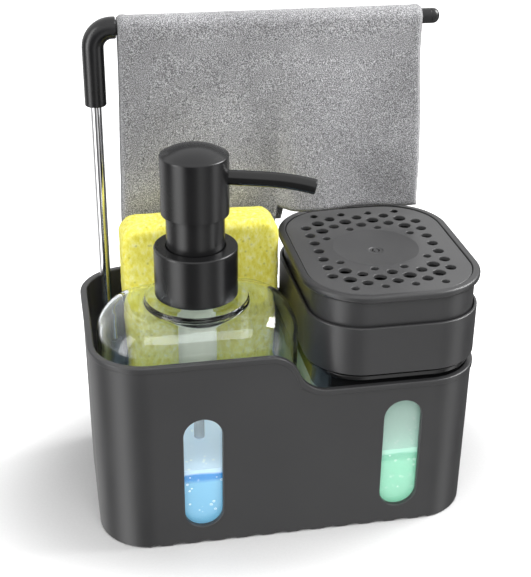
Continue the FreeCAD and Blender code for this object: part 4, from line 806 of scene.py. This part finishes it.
def makeSpring(name, size):
    # a round wire on a helix between two flat end turns, fitted to the solid's box
    low, high = (np.array(corner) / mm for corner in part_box(name))
    middle = (low + high) / 2
    thick = size["wire"] / 2
    reach = (high[0] - low[0]) / 2 - thick
    share = np.linspace(0, 1, 64 * size["turns"])
    angle = 2 * np.pi * size["turns"] * share
    flatTurn = 1 / size["turns"]
    climb = np.clip((share - flatTurn / 2) / (1 - flatTurn), 0, 1)
    out = np.column_stack([np.cos(angle), np.sin(angle), 0 * angle])
    line = middle + reach * out
    line[:, 2] = low[2] + thick + (high[2] - low[2] - size["wire"]) * climb
    way = np.gradient(line, axis=0)
    way /= np.linalg.norm(way, axis=1, keepdims=True)
    side = np.cross(way, out)
    turn = np.linspace(0, 2 * np.pi, 12, endpoint=False)[:, None]
    grid = line[:, None] + thick * (np.cos(turn) * out[:, None] + np.sin(turn) * side[:, None])
    ends = [np.broadcast_to(line[end], grid[:1].shape) for end in (0, -1)]
    coil = addPiece(name + "_wire", [patch(np.concatenate([ends[0], grid, ends[1]]))], springSteel,
        size["body"], [name])
    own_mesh(coil)


for name, size in springs.items():
    makeSpring(name, size)

# Towel rack
rack = dict(x=-69.536, y=37.805, rodRadius=2.3, rodFoot=9.8, rodTop=187.6, elbowRadius=4.5, elbowFoot=167.6,
    bend=8.0, barHeight=200.0, elbowEnd=-59.93, barRadius=3.2, barStart=-65.5, barEnd=74.27, capEnd=78.07,
    capRound=2.7)


def makeRack():
    x, y = rack["x"], rack["y"]
    radius = rack["rodRadius"]
    rod = profileOf(rack, [(0, "rodFoot", 0), (radius, "rodFoot", 0.3), (radius, "rodTop", 0.3),
        (0, "rodTop", 0)], 4)
    addPiece("chrome_rod", [patch(turned(rod, x, y, 48))], chrome, "rack", ["rack_rod"])
    bend = rack["bend"]
    level = rack["barHeight"]
    turn = np.linspace(0, np.pi / 2, 25)
    arc = np.column_stack([x + bend * (1 - np.cos(turn)), 0 * turn + y, level - bend + bend * np.sin(turn)])
    rise = np.linspace(rack["elbowFoot"], level - bend, 12)[:-1]
    up = np.column_stack([0 * rise + x, 0 * rise + y, rise])
    run = np.linspace(x + bend, rack["elbowEnd"], 4)[1:]
    along = np.column_stack([run, 0 * run + y, 0 * run + level])
    path = np.concatenate([up, arc, along])
    length = np.linalg.norm(np.diff(path, axis=0), axis=1).sum()
    thick = rack["elbowRadius"]
    start = softened([(0.6, 0, 0), (0.6, radius + 0.05, 0), (0, radius + 0.05, 0.1), (0, thick, 0.6),
        (2, thick, 0)], 4)
    end = softened([(length - 1.2, thick, 0), (length, thick, 0.5), (length, rack["barRadius"] + 0.05, 0.1),
                    (length - 0.4, rack["barRadius"] + 0.05, 0), (length - 0.4, 0, 0)], 4)
    body = [(s, thick) for s in stations([2.0, length - 1.2], 0.9)[1:-1]]
    grid = swept(path, start.tolist() + body + end.tolist(), (0, 1, 0), 44)
    addPiece("rack_bend", [patch(grid)], rackBlack, "rack", ["rack_elbow"])
    line = np.column_stack([[rack["barStart"], rack["capEnd"] + 5], [y, y], [level] * 2])
    line = line[0] + (line[1] - line[0]) * np.linspace(0, 1, 30)[:, None]
    thick = rack["barRadius"]
    length = rack["barEnd"] - rack["barStart"]
    bar = softened([(0, 0, 0), (0, thick, 0.2), (length, thick, 0.15), (length, 0, 0)], 4)
    addPiece("rack_bar", [patch(swept(line, bar, (0, 1, 0), 44))], rackBlack, "rack", ["towel_bar"])
    reach = rack["capEnd"] - rack["barStart"]
    cap = softened([(length + 0.05, 0, 0), (length + 0.05, thick, 0.15), (reach, thick, rack["capRound"]),
        (reach, 0, 0)], 8)
    addPiece("bar_end", [patch(swept(line, cap, (0, 1, 0), 44))], rackBlack, "rack", ["bar_cap"])


makeRack()

# Towel
towel = dict(left=-59.33, width=129.0, thick=1.6, hem=4.2, hemSwell=0.5, frontHem=116.6, backHem=122.0,
    bend=4.15, flare=1.4, foldDepth=(3.2, 2.56), foldLean=(0.06, -0.05), foldLength=80.0, wander=0.5,
    wanderSize=18.0, rumpleSize=14.0, hemWave=(0.06, -0.3), hemWaves=1.3, hemEase=0.6, grid=1.5,
    foldFrom=6.0, foldOver=60.0, freeOver=12.0, rumple=0.35, ridges=(0.36, 0.68), swing=5.6, swingFrom=7.5,
    swingOver=8.0, frontDroop=12.0, frontEdge=8.7, backDroop=14.0, backEdge=14.4, step=2.4)


def makeTowel():
    # the cloth's middle surface: up the front, a half turn over the bar, down the back; folds push the
    # panels in and grow from the bar to the hem
    rise = rack["barHeight"] - towel["frontHem"]
    fall = rack["barHeight"] - towel["backHem"]
    half = math.pi * towel["bend"]
    length = rise + half + fall
    grid = towel["grid"]
    over = np.linspace(rise, rise + half, 15)[:-1]
    s = np.concatenate([stations([0, towel["hem"], rise], grid)[:-1], over,
                        stations([rise + half, length - towel["hem"], length], grid)])
    seam = towel["hem"] / towel["width"]
    u = stations([0, seam, 1 - seam, 1], grid / towel["width"])
    s, u = np.meshgrid(s, u, indexing="ij")
    angle = np.clip((s - rise) / towel["bend"], 0, math.pi)
    y = rack["y"] - towel["bend"] * np.cos(angle)
    hung = np.clip(rise - s, 0, None) + np.clip(s - rise - half, 0, None)
    z = rack["barHeight"] + towel["bend"] * np.sin(angle) - hung
    drop = np.clip(rack["barHeight"] - z, 0, None)
    front = s < rise + half / 2
    ease = eased((drop - towel["foldFrom"]) / towel["foldOver"])
    lean = u + np.where(front, *towel["foldLean"]) * (drop / towel["foldLength"] - 0.6)
    first, second = towel["ridges"]
    wave = 0.5 + 0.5 * np.cos(2 * np.pi * (lean - first) / (second - first))
    wide = 0.5 + 0.5 * np.cos(2 * np.pi * (lean * 0.8 + 0.1))
    valley = (1 - wave) * (0.75 + 0.25 * wide)
    y = y + np.where(front, *towel["foldDepth"]) * ease * valley
    x = towel["left"] + towel["width"] * u + towel["flare"] * (2 * u - 1) * ease
    x = x + towel["wander"] * ease * cloudy(np.stack([x, y * 0, z], axis=-1), towel["wanderSize"], 3)
    free = np.clip(drop / towel["freeOver"], 0, 1)
    rumple = cloudy(np.stack([x, y * 0 + 50 * front, z], axis=-1), towel["rumpleSize"], 8) + 1
    y = y + towel["rumple"] * free * rumple * np.where(front, 1, -1)
    # left of the press plate both panels hang lower, and right of it the front swings forward
    behind = eased((np.where(front, towel["frontEdge"], towel["backEdge"]) - x) / towel["step"])
    droop = np.where(front, towel["frontDroop"] * np.clip(drop / rise, 0, 1),
                     towel["backDroop"] * np.clip(drop / fall, 0, 1))
    z = z - droop * behind
    clear = eased((x - towel["swingFrom"]) / towel["swingOver"])
    y = y - np.where(front, towel["swing"], 0) * ease * clear
    z = z + np.where(front, *towel["hemWave"]) * free * (1 + np.cos(2 * np.pi * u * towel["hemWaves"]))
    middle = np.stack([x, y, z], axis=-1)
    normal = np.cross(np.gradient(middle, axis=1), np.gradient(middle, axis=0))
    normal /= np.linalg.norm(normal, axis=-1, keepdims=True)
    # thickness rises from nothing at the cut edge as a quarter round, with a folded hem on all four sides
    edge = np.minimum(np.minimum(s, length - s), np.minimum(u, 1 - u) * towel["width"])
    edge = np.clip(edge, 0, None)
    hem = np.clip((towel["hem"] - edge) / towel["hemEase"], 0, 1) * towel["hemSwell"]
    cut = np.clip(edge / towel["thick"], 0, 1)
    thick = (towel["thick"] + hem) * np.sqrt(np.clip(1 - (1 - cut) ** 2, 0, 1))
    outer = middle + normal * thick[..., None] / 2
    inner = middle - normal * thick[..., None] / 2
    flat = np.stack([u * towel["width"], s], axis=-1).reshape(-1, 2) * mm
    cloth = addPiece("draped_towel", [patch(outer, False), patch(inner, False)], microfibre, "rack",
        ["towel"], np.concatenate([flat, flat]))


makeTowel()

# Sponge
sponge = dict(x=-29.2, y=22.05, z=62.05, width=68.8, height=118.5, thick=20.0, corner=8.0, round=4.0,
    rough=0.35, sag=0.3, noise=(3.2, 1.5, 17.0))


def makeSponge():
    # a rounded block: an upright rounded rectangle carried through the thickness over a quarter round at
    # both faces, then pushed in by noise of three sizes
    across = np.linspace(-1, 1, 46) * (sponge["width"] / 2 - sponge["corner"])
    loop = roundedLoop(sponge["width"], sponge["height"], sponge["corner"], sponge["x"], sponge["z"],
        across, 8, 80)
    deep = sponge["thick"] / 2
    bow = sponge["round"]
    face = heelRows(0, -deep, bow, 6)
    profile = face + [(0, y) for y in np.linspace(bow - deep, deep - bow, 10)[1:-1]]
    profile += [(inset, -y) for inset, y in face[::-1]]
    grid = carried(loop, profile)
    faces = [patch(grid), patch(spanned(loop, grid[0], 80), False),
        patch(spanned(loop, grid[-1], 80), False)]
    coarse, fine, broad = sponge["noise"]
    shaped = []
    for points, quads in faces:
        placed = points[:, (0, 2, 1)] + np.array([0, sponge["y"], 0])
        way = placed - np.array([sponge["x"], sponge["y"], sponge["z"]])
        way = way / np.array([sponge["width"] / 2, deep, sponge["height"] / 2])
        way = way ** 7
        way /= np.maximum(np.linalg.norm(way, axis=1, keepdims=True), 1e-9)
        dent = 0.5 * (cloudy(placed, coarse, 11) + 0.8 * cloudy(placed, fine, 12)) + 0.5
        soft = 0.5 * (cloudy(placed, broad, 13) + 1)
        shaped.append((placed - way * (sponge["rough"] * dent + sponge["sag"] * soft)[:, None], quads))
    block = addPiece("yellow_sponge", shaped, cellulose, "sponge", ["sponge"])


makeSponge()

# Carried-over pieces keep their solids' shapes and take a finish
carriedOver = [
    (sealGrey, ("neck_gasket", "lid_gasket")), (plateGrey, ("outlet_nozzle",)),
    (tubeClear, ("dip_tube", "pickup_tube")), (naturalPlastic, ("pump_cylinder",)),
    (innerWhite, ("press_cylinder", "stem_guide", "pump_stem", "pump_piston", "press_guide", "press_stem",
                  "press_piston")),
    (springSteel, ("inlet_ball", "press_ball")), (rackBlack, ("socket_bush",))]
for finish, names in carriedOver:
    for name in names:
        nodes[name].data.materials.clear()
        nodes[name].data.materials.append(finish)
print("pieces made")

# Stage
stage = dict(key=14.0, side=2.5, top=8.4, world=0.40, floor=0.62, lift=0.8, liftFrom=(0.09, 0.175),
    cards=3.0, ceiling=1.15)


def addLamp(name, place, aim, size, power, reflected=True):
    lamp = bpy.data.lights.new(name, "AREA")
    lamp.shape = "RECTANGLE"
    lamp.size, lamp.size_y = size
    lamp.energy = power
    holder = bpy.data.objects.new(name, lamp)
    holder.location = place
    holder.visible_glossy = reflected
    holder.rotation_euler = (Vector(aim) - Vector(place)).to_track_quat("-Z", "Y").to_euler()
    bpy.context.scene.collection.objects.link(holder)


def seenDirectly(tree):
    # two masks: rays straight from the camera or through clear plastic, and reflected rays
    rays = tree.nodes.new("ShaderNodeLightPath")
    feeds = {0: rays.outputs["Is Camera Ray"], 1: rays.outputs["Is Transmission Ray"]}
    seen = addNode(tree, "ShaderNodeMath", feeds, operation="MAXIMUM")
    return seen.outputs["Value"], rays.outputs["Is Glossy Ray"]


def makeStudio():
    # a white room; reflections see upright light cards round a dark wall, by bearing, under a pale ceiling
    world = bpy.data.worlds.new("studio")
    bpy.context.scene.world = world
    world.use_nodes = True
    tree = world.node_tree
    seen, glossy = seenDirectly(tree)
    sky = tree.nodes["Background"]
    sky.inputs["Color"].default_value = (1, 1, 1, 1)
    sky.inputs["Strength"].default_value = stage["world"]
    white = addNode(tree, "ShaderNodeBackground", Color=(1, 1, 1, 1))
    way = tree.nodes.new("ShaderNodeTexCoord").outputs["Generated"]
    bearing = addNode(tree, "ShaderNodeTexGradient", {"Vector": way}, gradient_type="RADIAL").outputs["Fac"]
    cards = rampOf(tree, bearing, [(0.0, (0.10,)), (0.05, (0.80,)), (0.09, (1.0,)), (0.15, (0.04,)),
        (0.235, (0.07,)), (0.285, (0.36,)), (0.33, (0.20,)), (0.38, (0.08,)), (0.43, (0.55,)),
        (0.50, (0.05,)), (0.68, (0.05,)), (0.78, (0.18,)), (0.88, (0.34,)), (0.95, (0.10,))])
    wall = addNode(tree, "ShaderNodeBackground", {"Color": cards}, Strength=stage["cards"])
    ceiling = addNode(tree, "ShaderNodeBackground", Color=(1, 1, 1, 1), Strength=stage["ceiling"])
    high = addNode(tree, "ShaderNodeSeparateXYZ", {"Vector": way}).outputs["Z"]
    above = rangeOf(tree, high, 0.05, 0.45, interpolation_type="SMOOTHSTEP")
    whole = wall
    for share, below, over in ((above, None, ceiling), (glossy, sky, None), (seen, None, white)):
        feeds = {0: share, 1: (below or whole).outputs[0], 2: (over or whole).outputs[0]}
        whole = addNode(tree, "ShaderNodeMixShader", feeds)
    tree.links.new(whole.outputs[0], tree.nodes["World Output"].inputs["Surface"])


def makeFloor():
    # pale paper: away from the object it is lifted to white where seen directly, so only the shadow shows
    floor = bpy.data.meshes.new("floor")
    side = 6.0
    floor.from_pydata([(-side, -side, 0), (side, -side, 0), (side, side, 0), (-side, side, 0)], [],
        [(0, 1, 2, 3)])
    paper, tree, shader, place = newMaterial("paper floor", Roughness=0.9, Specular_IOR_Level=0.0,
        Emission_Color=(1, 1, 1, 1))
    speck = noiseOf(tree, place, 900.0)
    tint = stage["floor"]
    tree.links.new(rampOf(tree, speck, [(0.3, (tint - 0.01,)), (0.7, (tint + 0.01,))]),
        shader.inputs["Base Color"])
    seen = seenDirectly(tree)[0]
    oval = addNode(tree, "ShaderNodeMapping", {"Vector": place}, Scale=(1.0, 1.5, 1.0))
    away = addNode(tree, "ShaderNodeVectorMath", {0: oval.outputs["Vector"]},
        operation="LENGTH").outputs["Value"]
    rise = rangeOf(tree, away, *stage["liftFrom"], 0.0, stage["lift"], interpolation_type="SMOOTHSTEP")
    lift = addNode(tree, "ShaderNodeMath", {0: seen, 1: rise}, operation="MULTIPLY")
    tree.links.new(lift.outputs["Value"], shader.inputs["Emission Strength"])
    floor.materials.append(paper)
    sheet = bpy.data.objects.new("floor", floor)
    sheet.visible_glossy = False
    bpy.context.scene.collection.objects.link(sheet)


def makeStage():
    addLamp("key softbox", (0.85, 0.06, 0.78), (0.0, 0.0, 0.08), (0.55, 0.55), stage["key"])
    addLamp("left strip", (-0.75, -0.25, 0.35), (0.0, 0.0, 0.08), (0.25, 0.9), stage["side"])
    addLamp("overhead", (-0.1, -0.60, 0.95), (0.0, 0.0, 0.08), (0.8, 0.6), stage["top"], False)
    makeStudio()
    makeFloor()


makeStage()

# Camera: the photograph's bearing, height, roll and lens
view = dict(bearing=-11.19, height=26.56, roll=0.6, distance=509.75, target=(-3.74, 0.0, 94.7), lens=74.29)


def makeCamera():
    # turned by bearing, height and roll about the target, then moved straight back
    turn = Matrix.Translation(Vector(view["target"]) * mm)
    for angle, axis in ((view["bearing"], "Z"), (90 - view["height"], "X"), (view["roll"], "Z")):
        turn = turn @ Matrix.Rotation(math.radians(angle), 4, axis)
    data = bpy.data.cameras.new("camera")
    data.lens = view["lens"]
    data.sensor_fit = "VERTICAL"
    data.sensor_width = 36.0
    data.sensor_height = 36.0
    data.clip_start = 0.01
    camera = bpy.data.objects.new("camera", data)
    camera.matrix_world = turn @ Matrix.Translation((0, 0, view["distance"] * mm))
    bpy.context.scene.collection.objects.link(camera)
    bpy.context.scene.camera = camera


makeCamera()
bpy.context.scene.view_settings.view_transform = "Standard"
print("stage and camera set")
